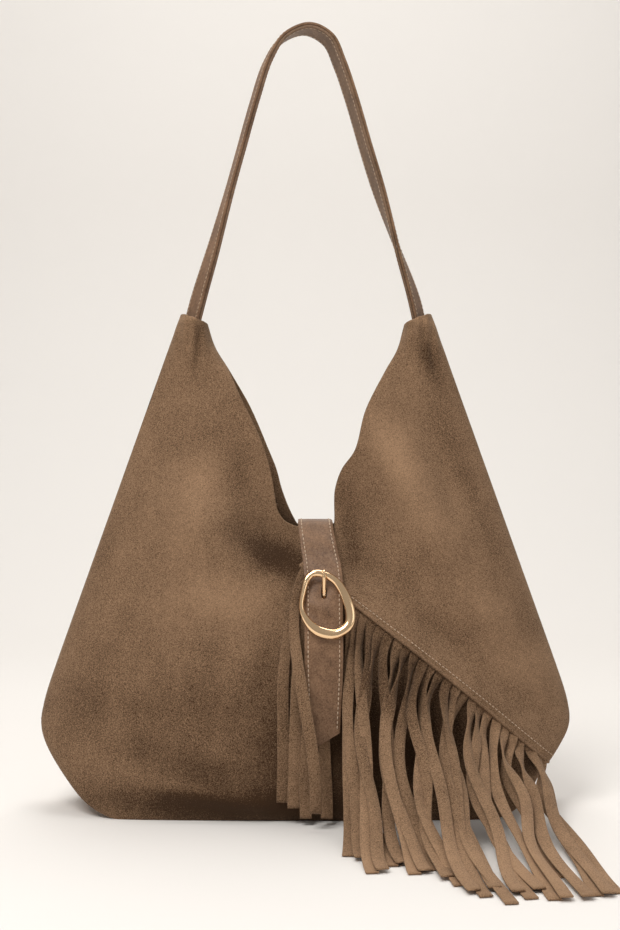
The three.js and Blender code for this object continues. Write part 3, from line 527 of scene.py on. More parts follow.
def front_dents(x, z):
    """Slack in the front: hollow beside the tab, ridges down the left, creases that run to the seam."""
    return share_left(x, z) ** 0.5 * folds(
        x, z, (-8, 226, -66, 238, 14, -7.5), (-12, 212, -45, 200, 12, -3), (-30, 190, -115, 262, 22, 4.6),
        (-92, 320, -75, 225, 24, 3), (-52, 330, -58, 262, 16, -3.4), (-20, 150, -110, 165, 20, -3.6),
        (-135, 300, -160, 190, 22, -2.2), (-160, 52, -85, 34, 14, -3.4), (-120, 26, -30, 14, 7, 2.8),
        (-185, 115, -120, 80, 20, 2), (-91.5, 402, -94.5, 372, 2.8, -2.6), (55, 322, 118, 215, 22, 5.2),
        (34, 262, 48, 195, 13, -4.4), (100, 335, 125, 260, 14, -3.4), (95, 165, 130, 140, 14, -3),
        (130, 190, 175, 150, 18, 2.8), (100, 412, 112, 370, 3.5, -2.4),
    )


def front_depth(x, z):
    """The front's face before it is tucked or lifted at the seam."""
    return body_depth(x, z) + front_dents(x, z) + gathers(x, z)


def front_face(x, z):
    """The front panel's face: tucked in where it runs under the overlay."""
    inwards = tuck * step(-0.014, 0.016, above_seam(x, z)) * share_left(x, z) ** 0.3
    return np.maximum(front_depth(x, z) - inwards, gusset_depth(z) + seam_gap)


def side_inset(x, z):
    """How far the panel's right side is drawn in where it runs under the overlay."""
    near_side = np.where(x > 0, (np.abs(x) / half_width(z, x)) ** 8, 0)
    return tuck * step(-0.016, 0.004, above_seam(x, z)) * near_side


left_lip = lip_down(lip_front, (len(bottom) - tip_count) // 2) * [-1, 1]
under = smooth_line(
    [left_lip[-1], (0.024, lip_front[0, 1]), (0.09, 0.243), (half_width(under_z, 1), under_z)],
    len(bottom) - tip_count - len(left_lip) + 1,
)[1:]
front_top = np.vstack([sleeve_top(-1, tip_count), left_lip, under])
front_right = side_edge(1, widest_height, under_z, panel_rows)
front_flat = fill_edges(bottom, front_top, left_side, front_right, panel_rows)
front_grid = lay(front_flat, front_face, -1)
front_grid[..., 0] -= side_inset(front_flat[..., 0], front_flat[..., 1])
front_panel = panel("front_panel_suede", front_grid, -1)
attach(front_panel, suede, "bag", "suede", "front_panel")
# Painted shade in the hollow beside the tab, in the creases, along the floor and behind the fringe, and
# painted highlights on the ridges and the sleeve's turned edge; partly how the nap lies.
paint_nap_and_shade(front_panel, painted_shade_spots(
    (-92, 395, 80, 26, 5, -0.28), (-100, 385, 70, 20, 9, 0.08), (-95, 311, 10, 26, 15, -0.13),
    (-58, 295, 98, 38, 10, -0.16), (-90, 270, 75, 36, 17, 0.2), (-20, 214, 158, 32, 15, -0.6),
    (-48, 228, 150, 26, 10, -0.2), (-42, 188, 165, 16, 9, 0.08), (-64, 176, 168, 36, 18, 0.3),
    (-78, 138, 162, 44, 8, -0.1), (-36, 130, 80, 34, 12, -0.16), (-107, 102, 30, 34, 18, -0.1),
    (-150, 150, 68, 60, 24, -0.08), (-185, 90, 60, 34, 22, -0.2), (-132, 86, 160, 34, 20, -0.12),
    (-130, 60, 170, 34, 14, -0.15), (-90, 28, 171, 34, 3.5, 0.2), (-60, 13, 178, 120, 16, -0.62),
    (60, 60, 0, 110, 60, -0.7), (-95, 417, 0, 20, 2.4, 0.3), (-80, 45, 172, 40, 10, -0.16),
))


# Overlay: the right-hand front, of the same suede, which crosses over the front panel. Its diagonal
# edge is folded under and topstitched through the fringe.
def overlay_lift(x, z):
    """How far the overlay stands out near its folded edge, over the fringe's hidden strip."""
    return seam_lift * (1 - step(0.003, 0.025, above_seam(x, z))) * share_left(x, z) ** 0.03


def overlay_face(x, z):
    """The overlay's face: the front with that lift."""
    return np.maximum(front_depth(x, z) + overlay_lift(x, z), gusset_depth(z) + seam_gap)


lip_overlay = np.array([
    (24.4, 246), (24.6, 271), (30, 288), (41, 304.5), (50, 338), (67, 371.5), (78, 391),
]) * 0.001
end_x = base_outer
for _ in range(40):
    end_x = (end_x + half_width(seam_z(end_x), 1)) / 2
overlay_cols, overlay_rows = 110, np.linspace(0, 1, 130) ** 1.25
low_bend = math.pi / 2.15
low_share = np.sin(np.linspace(0, low_bend, overlay_cols)) / math.sin(low_bend)
low_edge_x = seam_start_x + (end_x - seam_start_x) * low_share
low_edge = np.stack([low_edge_x, seam_z(low_edge_x)], -1)
overlay_corner = [(seam_start_x, seam_z(seam_start_x)), (0.011, 0.227), (0.0226, 0.2345)]
overlay_left = smooth_line(np.vstack([overlay_corner, lip_overlay, [tip_inner, inner_z]]), overlay_rows)
overlay_right = side_edge(1, seam_z(end_x), top_z, overlay_rows)
overlay_top = sleeve_top(1, overlay_cols)[::-1]
overlay_flat = fill_edges(low_edge, overlay_top, overlay_left, overlay_right, overlay_rows)
overlay_grid = lay(overlay_flat, overlay_face, -1)
overlay = panel("overlay_suede", overlay_grid, -1)
attach(overlay, suede, "bag", "suede", "overlay_panel")
# Painted highlight along its long ridge and the sleeve's turned edge, painted shade beside the tab and in
# its creases; partly how the nap lies.
paint_nap_and_shade(overlay, painted_shade_spots(
    (104, 384, 110, 24, 9, -0.4), (92, 405, 80, 10, 5, 0.12), (73, 304, 120, 36, 18, 0.42),
    (104, 244, 118, 46, 20, 0.16), (37, 230, 95, 36, 10, -0.26), (58, 208, 140, 30, 12, -0.14),
    (95, 415, 168, 20, 2.4, 0.3), (118, 150, 145, 26, 12, -0.16), (153, 174, 145, 22, 12, 0.14),
    (170, 200, 112, 48, 11, -0.14), (128, 300, 112, 46, 10, -0.12), (178, 124, 125, 34, 17, 0.2),
    (90, 186, 150, 22, 9, 0.06),
))


# Base: a lens-shaped piece of the same suede between the panels' lower edges. Its ends run a little way
# up inside the side seams, each drawn in as it climbs.
base_top, base_inset = gusset_height - 0.0035, 0.0022
climb = np.linspace(base_top, widest_height, 8, endpoint=False)
climb_x = half_width(climb, np.array([[-1], [1]])) - base_inset * step(widest_height, base_top, climb)
left_climb, right_climb = np.stack([climb_x * [[-1], [1]], np.stack([climb, climb])], -1)
base_path = np.vstack([left_climb, bottom, right_climb[::-1]])
under_panel = body_depth(base_path[:, 0], base_path[:, 1]) - suede_thick
half_across = np.maximum(np.maximum(gusset_depth(base_path[:, 1]), under_panel) - 0.0005, 0.0003)
base_y = half_across[:, None] * np.linspace(-1, 1, 24)
base_grid = np.stack(np.broadcast_arrays(base_path[:, :1], base_y, base_path[:, 1:]), -1)
outwards = np.insert(base_path - (0, 0.1), 1, 0, axis=1)[:, None]
base = skin("base_suede", base_grid, base_grid - suede_thick * surface_normals(base_grid, outwards))
attach(base, suede, "bag", "suede", "base_gusset")


# Folded edge of the overlay: the suede is turned under along the seam, which leaves a thin roll of it
# there, in front of the fringe.
def bar_faces(count, rows, cols):
    """Side quads and end caps of closed bars, each a grid of rows points along it by cols round it."""
    start = np.arange(count)[:, None] * rows * cols
    sides = grid_faces(rows, cols, wrap_cols=True) + start[:, None]
    ends = np.concatenate([start + np.arange(cols), start + (rows - 1) * cols + np.arange(cols)[::-1]])
    return sides.reshape(-1, 4), ends


def carry(name, centres, wide, out, section, loop=False):
    """A bar: the section's (across, out) pairs laid at each centre along wide and out, its ends capped
    or joined in a loop. The section may be one outline, or one for each centre."""
    section = np.broadcast_to(section, (len(centres),) + np.shape(section)[-2:])
    points = centres[:, None] + section[..., :1] * wide[:, None] + section[..., 1:] * out[:, None]
    rows, cols = points.shape[:2]
    faces = (grid_faces(rows, cols, True, True),) if loop else bar_faces(1, rows, cols)
    return new_mesh(name, points.reshape(-1, 3), *faces)


def circle(radius, count=12):
    """The outline of a round bar."""
    angle = np.arange(count) * 2 * math.pi / count
    return radius * np.stack([np.cos(angle), np.sin(angle)], -1)


def tangents(line):
    """Unit directions along a line of points."""
    return unit(np.gradient(line, axis=0))


overlay_out = surface_normals(overlay_grid, (0, -1, 0))
edge_line, edge_out = overlay_grid[0], overlay_out[0]
roll_radius, roll_depth = 0.0016, 0.0009
roll = carry(
    "seam_roll", edge_line - roll_depth * edge_out, np.cross(tangents(edge_line), edge_out), edge_out,
    circle(roll_radius),
)
attach(roll, suede, "bag", "suede")


# Seam stitches: one row along the overlay's folded edge, through the fringe, in waxed thread a little
# lighter than the suede. Each stitch is a short bar sunk at both ends.
def thread_finish():
    """Thread between two browns, by the turns of its strands."""
    made, tree, shader = finish_material("waxed_thread", Roughness=0.6)
    turns = noise(tree, object_place(tree), 2600, 1)
    colour = mixed(tree, turns, (0.36, 0.25, 0.16, 1), (0.68, 0.53, 0.39, 1))
    tree.links.new(colour, shader.inputs["Base Color"])
    return made


thread = thread_finish()


def read_line(line, run, at):
    """The line's values at distances `at`, given the distance of each of its points."""
    return np.stack([np.interp(at, run, line[:, k]) for k in range(3)], -1)


def stitches(name, line, out, slot, pitch, long, thick):
    """A row of stitches on a line of points: each one is a capsule that follows the line, thickest and
    highest at its middle, with its ends pulled in."""
    run = np.concatenate([[0], np.cumsum(np.linalg.norm(np.diff(line, axis=0), axis=1))])
    s = np.linspace(-0.5, 0.5, 6)
    at = (np.arange(int(run[-1] // pitch))[:, None] + 0.5) * pitch + s * long
    centre, normal = read_line(line, run, at), unit(read_line(out, run, at))
    across = np.cross(unit(read_line(tangents(line), run, at)), normal)
    radius = thick / 2 * np.sqrt(1.02 - (2 * s) ** 2)[None, :, None, None]
    height = (thick * (0.55 * np.cos(math.pi * s) - 0.25))[None, :, None]
    ring = circle(1.0, 6)
    points = (centre + height * normal)[:, :, None] + radius * (
        ring[:, 0, None] * across[:, :, None] + ring[:, 1, None] * normal[:, :, None]
    )
    attach(new_mesh(name, points.reshape(-1, 3), *bar_faces(*points.shape[:3])), thread, "bag", slot)


seam_sewn, middle = 0.0052, overlay_grid[:, 60]
row_at = int(np.argmin(np.abs(above_seam(middle[:, 0], middle[:, 2]) - seam_sewn)))
stitches(
    "seam_stitches", overlay_grid[row_at] + 0.0001 * overlay_out[row_at], overlay_out[row_at], "suede",
    pitch=0.0036, long=0.0026, thick=0.00072,
)


# Fringe: one strip of suede caught in the seam and cut into strands. The first few hang beside the
# tab; the others fall and lie forward on the floor, turning over here and there.
strand_width, strand_pitch, strand_thick, strand_bevel = 0.0083, 0.0088, 0.0015, 0.0004
header_hidden, header_shown, header_gap, header_steps = 0.0065, 0.0012, 0.00075, 80
fringe_end_x, root_drop, strand_rest, strand_reach, strand_steps = 0.202, 0.0005, 0.0009, 0.036, 72
# Each strand's end as x, y and z, and how far its upper part stands off the front, in millimetres.
strand_ends = np.array([
    (-19, -62, 18, 3), (8, -80, 14, 0), (-10, -64, 14, 4), (0, -65, 6, 3), (17, -65, 6, 2),
    (32, -147, 1, 3), (41, -158, 3.4, 8), (48, -187, 1, 4), (55.5, -186, 3.4, 8), (63, -171, 1, 3),
    (70.5, -170, 3.4, 8), (78, -189, 1, 4), (85.5, -188, 3.4, 8), (93, -180, 1, 3), (100, -202, 3.4, 8),
    (107.5, -214, 1, 4), (115, -231, 3.4, 8), (122.5, -237, 1, 3), (130, -226, 3.4, 8),
    (137.5, -251, 1, 4), (145, -233, 3.4, 8), (152.5, -241, 1, 3), (160, -228, 3.4, 8),
    (167.5, -243, 1, 4), (175, -245, 3.4, 8), (182.5, -196, 1, 3), (190, -243, 3.4, 8),
    (197.5, -235, 1, 4), (205, -237, 3.4, 7), (212.5, -230, 1, 3),
]) * 0.001
seam_x = np.linspace(seam_start_x + 0.002, fringe_end_x, 401)
seam_line = np.stack([seam_x, -front_face(seam_x, seam_z(seam_x)), seam_z(seam_x)], -1)
seam_run = np.concatenate([[0], np.cumsum(np.linalg.norm(np.diff(seam_line, axis=0), axis=1))])
count = min(int(seam_run[-1] // strand_pitch), len(strand_ends))
root_x = np.interp((np.arange(count) + 0.5) * strand_pitch, seam_run, seam_x)
root_z = seam_z(root_x)


def down_seam(x):
    """Unit direction down and away from the seam, in the front view, as its x and z."""
    angle = np.arctan(seam_slope(x))
    return -np.sin(angle), -np.cos(angle)


# Each strand's middle line is a cubic from its root to its end: it leaves the seam square to it and
# comes in flat along the floor. The last strands leave it straight down, which covers the corner.
dx, dz = down_seam(root_x)
start_x, start_z = root_x + root_drop * dx, root_z + root_drop * dz
start_depth = front_face(start_x, start_z) + header_gap + strand_thick / 2
root = np.stack([start_x, -start_depth, start_z], -1)
end_point, off = strand_ends[:count, :3], strand_ends[:count, 3]
on_floor = (end_point[:, 2] < 0.005) & (end_point[:, 1] < -0.1)
reach = np.minimum(strand_reach, root_z * 0.75)
fan = step(count - 11, count - 1, np.arange(count))
first_x = root_x + dx * reach * (1 - 1.15 * fan)
first_x = np.where(on_floor, np.maximum(first_x, 0.037), first_x)
first_z = np.maximum(root_z + dz * reach, 0.009)
first = np.stack([first_x, -(body_depth(first_x, first_z) + strand_thick + off), first_z], -1)
run_back = unit((first - end_point) * (1, 1, 0)) * 0.55 * np.abs(end_point[:, 1:2] - first[:, 1:2])
second = end_point + np.where(on_floor[:, None], run_back, (0, 0, 0.06))
first[1], second[1] = (-0.036, -0.05, 0.165), (0.01, -0.104, 0.12)
t = np.linspace(0, 1, strand_steps)[None, :]
u = t[..., None]
centre = (
    (1 - u) ** 3 * root[:, None] + 3 * (1 - u) ** 2 * u * first[:, None]
    + 3 * (1 - u) * u**2 * second[:, None] + u**3 * end_point[:, None]
)

# It sways as one of a clump and a little by itself, and bows out from the front.
clump_sway, clump_dice, own_sway, bow_out = 0.0062, 0.0035, 0.0048, 0.004
dice = np.random.default_rng(11)
number = np.arange(count)[:, None]
loose = np.clip((number - 3) / 6, 0.25, 1)
hump = np.sin(math.pi * t)
clump = clump_sway * np.sin(1.9 * number + 0.6) + dice.uniform(-clump_dice, clump_dice, (count, 1))
turns = dice.uniform(1.0, 1.9, (count, 1)) * t + dice.random((count, 1))
centre[..., 0] += (clump * hump**1.3 + own_sway * hump * np.sin(2 * math.pi * turns)) * loose
centre[..., 1] -= bow_out * loose * hump * (0.5 + 0.5 * np.sin(2.7 * number + 6 * t))

# Its face looks forward at the seam and up on the floor. Near the seam it turns edge on, further down
# it twists a little, and it widens towards its end.
forward = unit(np.gradient(centre, axis=1))
lie = step(0.15, 0.9, t)[..., None]
face_end = np.where(on_floor[:, None, None], (0.0, 0.0, 1.0), (0.0, -1.0, 0.0))
face = np.array([0, -1, 0.15]) * (1 - lie) + face_end * lie
wide = unit(np.cross(forward, face))
out = unit(np.cross(wide, forward))
edge_on = np.radians(dice.uniform(48, 84, (count, 1))) * np.where(dice.random((count, 1)) < 0.8, 1, -0.7)
edge_at, edge_long = dice.uniform(0.12, 0.24, (count, 1)), dice.uniform(0.08, 0.15, (count, 1))
early = np.exp(-(((t - edge_at) / edge_long) ** 2)) * step(0, 0.07, t)
late = np.radians(dice.uniform(-26, 26, (count, 1))) * np.sin(math.pi * step(0.2, 0.95, t))
waver = np.radians(12) * np.sin(2 * math.pi * (t * 1.6 + dice.random((count, 1)))) * hump
twist = edge_on * early * loose + late + waver
cos, sin = np.cos(twist)[..., None], np.sin(twist)[..., None]
wide, out = wide * cos + out * sin, out * cos - wide * sin
half, high = strand_width / 2, strand_thick / 2
side, face_edge = half - strand_bevel, high - strand_bevel
section = np.array([
    (-half, -face_edge), (-side, -high), (0, -high), (side, -high), (half, -face_edge),
    (half, face_edge), (side, high), (0, high), (-side, high), (-half, face_edge),
])
spread = 1 + 0.17 * step(0.15, 0.6, u)[..., None]
strands = (
    centre[:, :, None] + section[:, :1] * spread * wide[:, :, None] + section[:, 1:] * out[:, :, None]
)
sunk = (strands[..., 1] + body_depth(strands[..., 0], strands[..., 2]) + strand_rest).max(-1)
strands[..., 1] -= np.maximum(sunk, 0)[..., None]
under_floor = (0.0002 - strands[..., 2]).max(-1)
strands[..., 2] += np.maximum(under_floor, 0)[..., None]
header_x = np.linspace(root_x[0] - 0.004, root_x[-1] + 0.004, header_steps)
header_dx, header_dz = down_seam(header_x)


def header_line(above, outwards):
    """A line of the hidden strip, that far above the seam and off the front panel's face."""
    x, z = header_x - header_dx * above, seam_z(header_x) - header_dz * above
    return np.stack([x, -(front_face(x, z) + header_gap + outwards), z], -1)


header = np.stack([
    header_line(header_hidden, 0), header_line(header_hidden, strand_thick),
    header_line(-header_shown, strand_thick), header_line(-header_shown, 0),
], 1)
strand_faces, strand_caps = bar_faces(*strands.shape[:3])
header_faces, header_caps = bar_faces(1, header_steps, 4)
strand_points = strands.reshape(-1, 3)
fringe = new_mesh(
    "fringe_suede", np.vstack([strand_points, header.reshape(-1, 3)]),
    np.vstack([strand_faces, header_faces + len(strand_points)]),
    list(strand_caps) + list(header_caps + len(strand_points)),
)
attach(fringe, suede, "bag", "suede", "fringe")
# Each strand has a random tone of its own; the hidden strip gets painted shade under the overlay's edge.
strand_tone_and_header_shade = np.repeat(dice.uniform(-0.1, 0.12, count), len(strand_points) // count)
strand_tone_and_header_shade = np.concatenate([strand_tone_and_header_shade, np.full(header_steps * 4, -0.3)])


def strand_tone_and_painted_light(x, y, z):
    """Each strand's own tone, with painted light where it lies on the floor and painted shade up by the
    front.
    """
    painted_floor_light = 0.27 * step(-0.09, -0.2, y) * step(0.09, 0.0, z)
    return strand_tone_and_header_shade + painted_floor_light - 0.26 * step(0.06, 0.12, z) * step(0.2, 0.1, x) * step(0.03, 0.05, x)


paint_nap_and_shade(fringe, strand_tone_and_painted_light)


# Strap: two plies of smooth leather back to back, sewn along both edges and left as a raw edge.
# Its ends run down into the sleeves.
def build_grain():
    """Leather's grain: fine pebbled cells, a few soft creases, pores and a cloudy colour."""
    group = bpy.data.node_groups.new("leather_grain", "ShaderNodeTree")
    for way, label, kind in (
        ("INPUT", "Vector", "Vector"), ("INPUT", "Dark", "Color"), ("INPUT", "Light", "Color"),
        ("OUTPUT", "Color", "Color"), ("OUTPUT", "Height", "Float"), ("OUTPUT", "Shine", "Float"),
    ):
        group.interface.new_socket(label, in_out=way, socket_type=f"NodeSocket{kind}")
    given, made = group.nodes.new("NodeGroupInput").outputs, group.nodes.new("NodeGroupOutput").inputs
    clouds = noise(group, given["Vector"], 28, 3, 0.55)
    creases = noise(group, given["Vector"], 150, 6, 0.7, (1, 1, 0.6))
    pores = noise(group, given["Vector"], 1300, 2, 0.6)
    voronoi = node(group, "ShaderNodeTexVoronoi", Scale=620)
    group.links.new(given["Vector"], voronoi.inputs["Vector"])
    cells = voronoi.outputs["Distance"]
    share = weighted(group, (clouds, 0.9), (creases, 1.2), (pores, 1.3), (cells, 0.5))
    height = weighted(group, (cells, -0.5), (creases, 0.5), (pores, 0.25))
    group.links.new(mixed(group, share, given["Dark"], given["Light"]), made["Color"])
    group.links.new(height, made["Height"])
    group.links.new(math_node(group, "MULTIPLY_ADD", clouds, 0.24, 0.38), made["Shine"])
    return group


grain = build_grain()


def leather_material(name, dark, light):
    """Smooth leather between two browns."""
    made, tree, shader = finish_material(name, Roughness=0.5, Specular_IOR_Level=0.26)
    effect = tree.nodes.new("ShaderNodeGroup")
    effect.node_tree = grain
    set_inputs(effect, Dark=(*dark, 1), Light=(*light, 1))
    tree.links.new(object_place(tree), effect.inputs["Vector"])
    tree.links.new(effect.outputs["Color"], shader.inputs["Base Color"])
    tree.links.new(effect.outputs["Shine"], shader.inputs["Roughness"])
    add_bump(tree, shader, effect.outputs["Height"], 0.5, 0.0004)
    return made


smooth_leather = leather_material("smooth_leather", (0.085, 0.043, 0.022), (0.27, 0.155, 0.088))
lining_leather = leather_material("lining_leather", (0.085, 0.048, 0.028), (0.24, 0.148, 0.09))

strap_width, strap_ply, strap_sewn = 0.022, 0.0023, 0.0086
left_turn, top_turn, right_turn = 34, 16, -25
strap_route = np.array([
    (-103.2, 392), (-92.7, 434), (-80, 477), (-68, 520), (-56, 563), (-43.9, 606), (-33, 639), (-20, 659),
    (1, 667), (19, 658), (29, 637), (39.5, 606), (52, 563), (65.3, 520), (79, 477), (93, 434), (102, 392),
]) * 0.001
strap_line = np.insert(smooth_line(strap_route, 240), 1, 0, axis=1)
strap_along = tangents(strap_line)
end_turn = np.where(strap_line[:, 0] < 0, left_turn, right_turn)
strap_turn = np.radians(end_turn + (top_turn - end_turn) * step(0.425, 0.545, strap_line[:, 2]))
strap_wide = np.stack([np.sin(strap_turn), -np.cos(strap_turn), 0 * strap_turn], -1)
strap_wide = unit(strap_wide - (strap_wide * strap_along).sum(-1, keepdims=True) * strap_along)
strap_out = unit(np.cross(strap_wide, strap_along))


def flat_section(width, low, high, corner):
    """Outline of a flat strip from low to high, its corners rounded and its faces a little crowned."""
    angle = np.linspace(0, math.pi / 2, 4)
    half, middle, thick = width / 2, (low + high) / 2, (high - low) / 2
    arc = np.stack([half - corner + corner * np.cos(angle), thick - corner + corner * np.sin(angle)], -1)
    inner = np.linspace(0.8, 0, 3)[:, None] * (half, 0) + (0, thick)
    quarter = np.vstack([arc, inner])
    upper = np.vstack([quarter, quarter[::-1][1:] * (-1, 1)])
    return np.vstack([upper, upper[::-1] * (1, -1)]) + (0, middle)


for name, side, finish, slot, solid in (
    ("strap_outer_leather", 1, smooth_leather, "strap_leather", "strap_outer"),
    ("strap_lining_leather", -1, lining_leather, "lining_leather", "strap_lining"),
):
    low_face, high_face = sorted((side * seam_gap, side * (seam_gap + strap_ply)))
    strap_section = flat_section(strap_width, low_face, high_face, 0.0006)
    strap = carry(name, strap_line, strap_wide, strap_out, strap_section)
    attach(strap, finish, "bag", slot, solid)
    face_at = strap_line + strap_out * side * (seam_gap + strap_ply)
    for edge, label in ((-1, "left"), (1, "right")):
        stitches(
            f"{name}_stitches_{label}", face_at + strap_wide * edge * strap_sewn, strap_out * side, slot,
            pitch=0.0038, long=0.003, thick=0.0006,
        )


# Closing tab: two plies of leather sewn along both edges. It starts on the outside of the back, crosses
# the mouth and comes down through the buckle; its free end is cut on a slant.
tab_ply, tab_tip_z, tab_tip_slant, tab_mouth_z = 0.00135, 0.061, 0.016, 0.243
tab_mouth_half, tab_half, tab_tip_half, tab_mouth_x, tab_x = 0.0146, 0.0156, 0.0126, 0.0076, 0.0146
tab_room, tab_sewn, tab_rows, tab_cols = 0.007, 0.0034, 260, 33
bar_radius, loop_gap, cad_gap, prong_x = 0.0016, 0.00035, 0.0003, -0.0012
chape_width, chape_ply, chape_top = 0.017, 0.0012, 0.229
bar_x, bar_z, buckle_lean = 0.016, 0.1793, math.radians(18)
bar_y = -(float(body_depth(bar_x, bar_z)) + tab_room + chape_ply + loop_gap + bar_radius)


def on_buckle(x, u, n):
    """Points of the buckle's leaning plane: x across, u up it and n out from the bar's axis."""
    x, u, n = np.broadcast_arrays(x, u, n)
    return np.stack([
        bar_x + x, bar_y + u * math.sin(buckle_lean) - n * math.cos(buckle_lean),
        bar_z + u * math.cos(buckle_lean) + n * math.sin(buckle_lean),
    ], -1)


def chape_depth(z):
    """Distance of the chape's middle from the middle plane, where it lies on the overlay's corner."""
    x = bar_x + chape_width / 2 * np.array([-1, 0, 1])
    return float((body_depth(x, z) + overlay_lift(x, z)).max()) + 2 * cad_gap + chape_ply


def tab_back(z):
    """A point of the tab's line on the outside of the back panel, as its y and z."""
    depth = body_depth(np.array([-8, 0, 8, 16, 24]) * 0.001, z).max()
    return depth + 1.5 * cad_gap + tab_ply + seam_gap, z


def tab_over(z):
    """A point of the tab's line on top of the chape."""
    return -(chape_depth(z) + chape_ply + 3 * cad_gap + tab_ply + seam_gap), z


def tab_hang(z, off):
    """A point of the tab's free end, that far off the front."""
    return -(float(body_depth(tab_mouth_x, z)) + off), z


rear = float(body_depth(tab_mouth_x, tab_mouth_z))
fore = -float(body_depth(0.024, tab_mouth_z) + overlay_lift(0.024, tab_mouth_z))
in_buckle = ((16, 2.2), (8, 4.2), (0, 5.1), (-10, 5.1), (-20, 5), (-30, 4.6))
tab_route = np.array(
    [tab_back(z * 0.001) for z in (200, 207, 214, 221, 228, 234)]
    + [(rear + y * 0.001, tab_mouth_z + z * 0.001) for y, z in ((4.6, -4.4), (2, -0.6), (-8, 0.6))]
    + [(fore + y * 0.001, tab_mouth_z + z * 0.001) for y, z in ((12, 0.2), (0.3, -1), (-4.4, -4.8))]
    + [tab_over(z * 0.001) for z in (232, 220, 208)]
    + [tuple(on_buckle(0, u * 0.001, n * 0.001)[1:]) for u, n in in_buckle]
    + [tab_hang(0.13, 0.015), tab_hang(0.1, 0.0136), tab_hang(tab_tip_z, 0.01)]
)
tab_line = np.insert(smooth_line(tab_route, 1200), 0, 0, axis=1)
tab_run = np.linspace(0, 1, len(tab_line))
tab_length = np.linalg.norm(np.diff(tab_line, axis=0), axis=1).sum()
tab_share = np.linspace(0, 1, tab_rows)[:, None]
tab_across = np.linspace(-1, 1, tab_cols)[None, :]
tab_at = tab_share - tab_tip_slant / tab_length * (tab_across + 1) / 2 * tab_share**6
_, tab_y, tab_z = np.moveaxis(read_line(tab_line, tab_run, tab_at), -1, 0)
tab_out = unit(np.cross(read_line(tangents(tab_line), tab_run, tab_at), (1, 0, 0)))
low_half = tab_tip_half + (tab_half - tab_tip_half) * step(tab_tip_z, tab_tip_z + 0.078, tab_z)
wide_half = low_half + (tab_mouth_half - low_half) * step(0.2, 0.24, tab_z)
middle_x = np.where(tab_y > 0, tab_mouth_x, tab_x + (tab_mouth_x - tab_x) * step(0.195, 0.25, tab_z))
tab_grid = np.stack([middle_x + tab_across * wide_half, tab_y, tab_z], -1)

# In front it has some slack: it swells in the ring, waves a little and sinks round the prong.
in_front = tab_y < 0
swell = np.exp(-(((tab_z - 0.178) / 0.016) ** 2)) * in_front
slack = 0.0011 * swell * (1 - tab_across**2) - 0.0007 * swell * np.abs(tab_across) ** 3
waves = np.sin(2 * math.pi * (tab_z / 0.017 + 0.4 * tab_across)) * (1 - tab_across**4)
slack = slack + 0.0005 * waves * step(0.075, 0.12, tab_z) * in_front
slack = slack - 0.0009 * np.exp(-(((tab_z - 0.187) / 0.006) ** 2) - (tab_across / 0.3) ** 2) * in_front
tab_grid = tab_grid + slack[..., None] * tab_out


def strip(name, grid, out, low, high):
    """A closed strip between two distances off a grid, its long edges thinned to a round."""
    share = np.linspace(0, 1, grid.shape[1])
    thin = np.clip(share * (1 - share) * 30, 0, 1) ** 0.5
    middle, half = (low + high) / 2, (high - low) / 2 * (0.35 + 0.65 * thin)[None, :, None]
    loop = np.concatenate([grid + (middle + half) * out, (grid + (middle - half) * out)[:, ::-1]], 1)
    rows, cols = loop.shape[:2]
    columns = np.arange(cols // 2 - 1)
    ends = np.stack([columns, columns + 1, cols - 2 - columns, cols - 1 - columns], -1)
    faces = np.vstack([grid_faces(rows, cols, wrap_cols=True), ends, ends + (rows - 1) * cols])
    return new_mesh(name, loop.reshape(-1, 3), faces)


def cut_out(piece, cutter):
    """Cuts one closed piece out of another, and keeps its finish."""
    trim = piece.modifiers.new("trim", "BOOLEAN")
    trim.operation, trim.solver, trim.object = "DIFFERENCE", "EXACT", cutter
    bpy.context.view_layer.update()
    made = piece.evaluated_get(bpy.context.evaluated_depsgraph_get())
    mesh = bpy.data.meshes.new_from_object(made)
    piece.modifiers.clear()
    piece.data = mesh
    bpy.data.objects.remove(cutter)
    mesh.set_sharp_from_angle(angle=math.radians(40))


def prong_slot(long, wide, middle, low, high):
    """A round-ended prism across the buckle's plane, for the prong's slot."""
    angle = np.linspace(0, 2 * math.pi, 24, endpoint=False)
    x = prong_x + wide / 2 * np.cos(angle)
    u = middle + wide / 2 * np.sin(angle) + np.sign(np.sin(angle) + 1e-9) * (long - wide) / 2
    points = np.stack([on_buckle(x, u, low), on_buckle(x, u, high)])
    made = new_mesh("slot_cutter", points.reshape(-1, 3), *bar_faces(1, 2, 24))
    face_outwards(made)
    return made


for name, side, finish, slot, solid in (
    ("tab_outer_leather", 1, smooth_leather, "strap_leather", "closure_tab"),
    ("tab_lining_leather", -1, lining_leather, "lining_leather", "closure_tab_lining"),
):
    low_face, high_face = sorted((side * seam_gap, side * (seam_gap + tab_ply)))
    ply = strip(name, tab_grid, tab_out, low_face, high_face)
    attach(ply, finish, "bag", slot, solid)
    cut_out(ply, prong_slot(long=0.011, wide=0.0046, middle=0.0074, low=-0.002, high=0.012))
    face_at = tab_grid + tab_out * side * (seam_gap + tab_ply)
    for edge, label in ((-1, "left"), (1, "right")):
        column = int(round((edge * (1 - tab_sewn / tab_half) + 1) / 2 * (tab_cols - 1)))
        stitches(
            f"{name}_stitches_{label}", face_at[3:-3, column], tab_out[3:-3, column] * side, slot,
            pitch=0.0038, long=0.0029, thick=0.0009,
        )


# Chape: a short leather loop round the buckle's bar, both ends sewn to the overlay's corner under the
# tab, with a slot for the prong.
def in_plane(point):
    """A point's (n, u) in the buckle's plane, from its y and z."""
    dy, dz = point[0] - bar_y, point[1] - bar_z
    sin, cos = math.sin(buckle_lean), math.cos(buckle_lean)
    return dz * sin - dy * cos, dy * sin + dz * cos


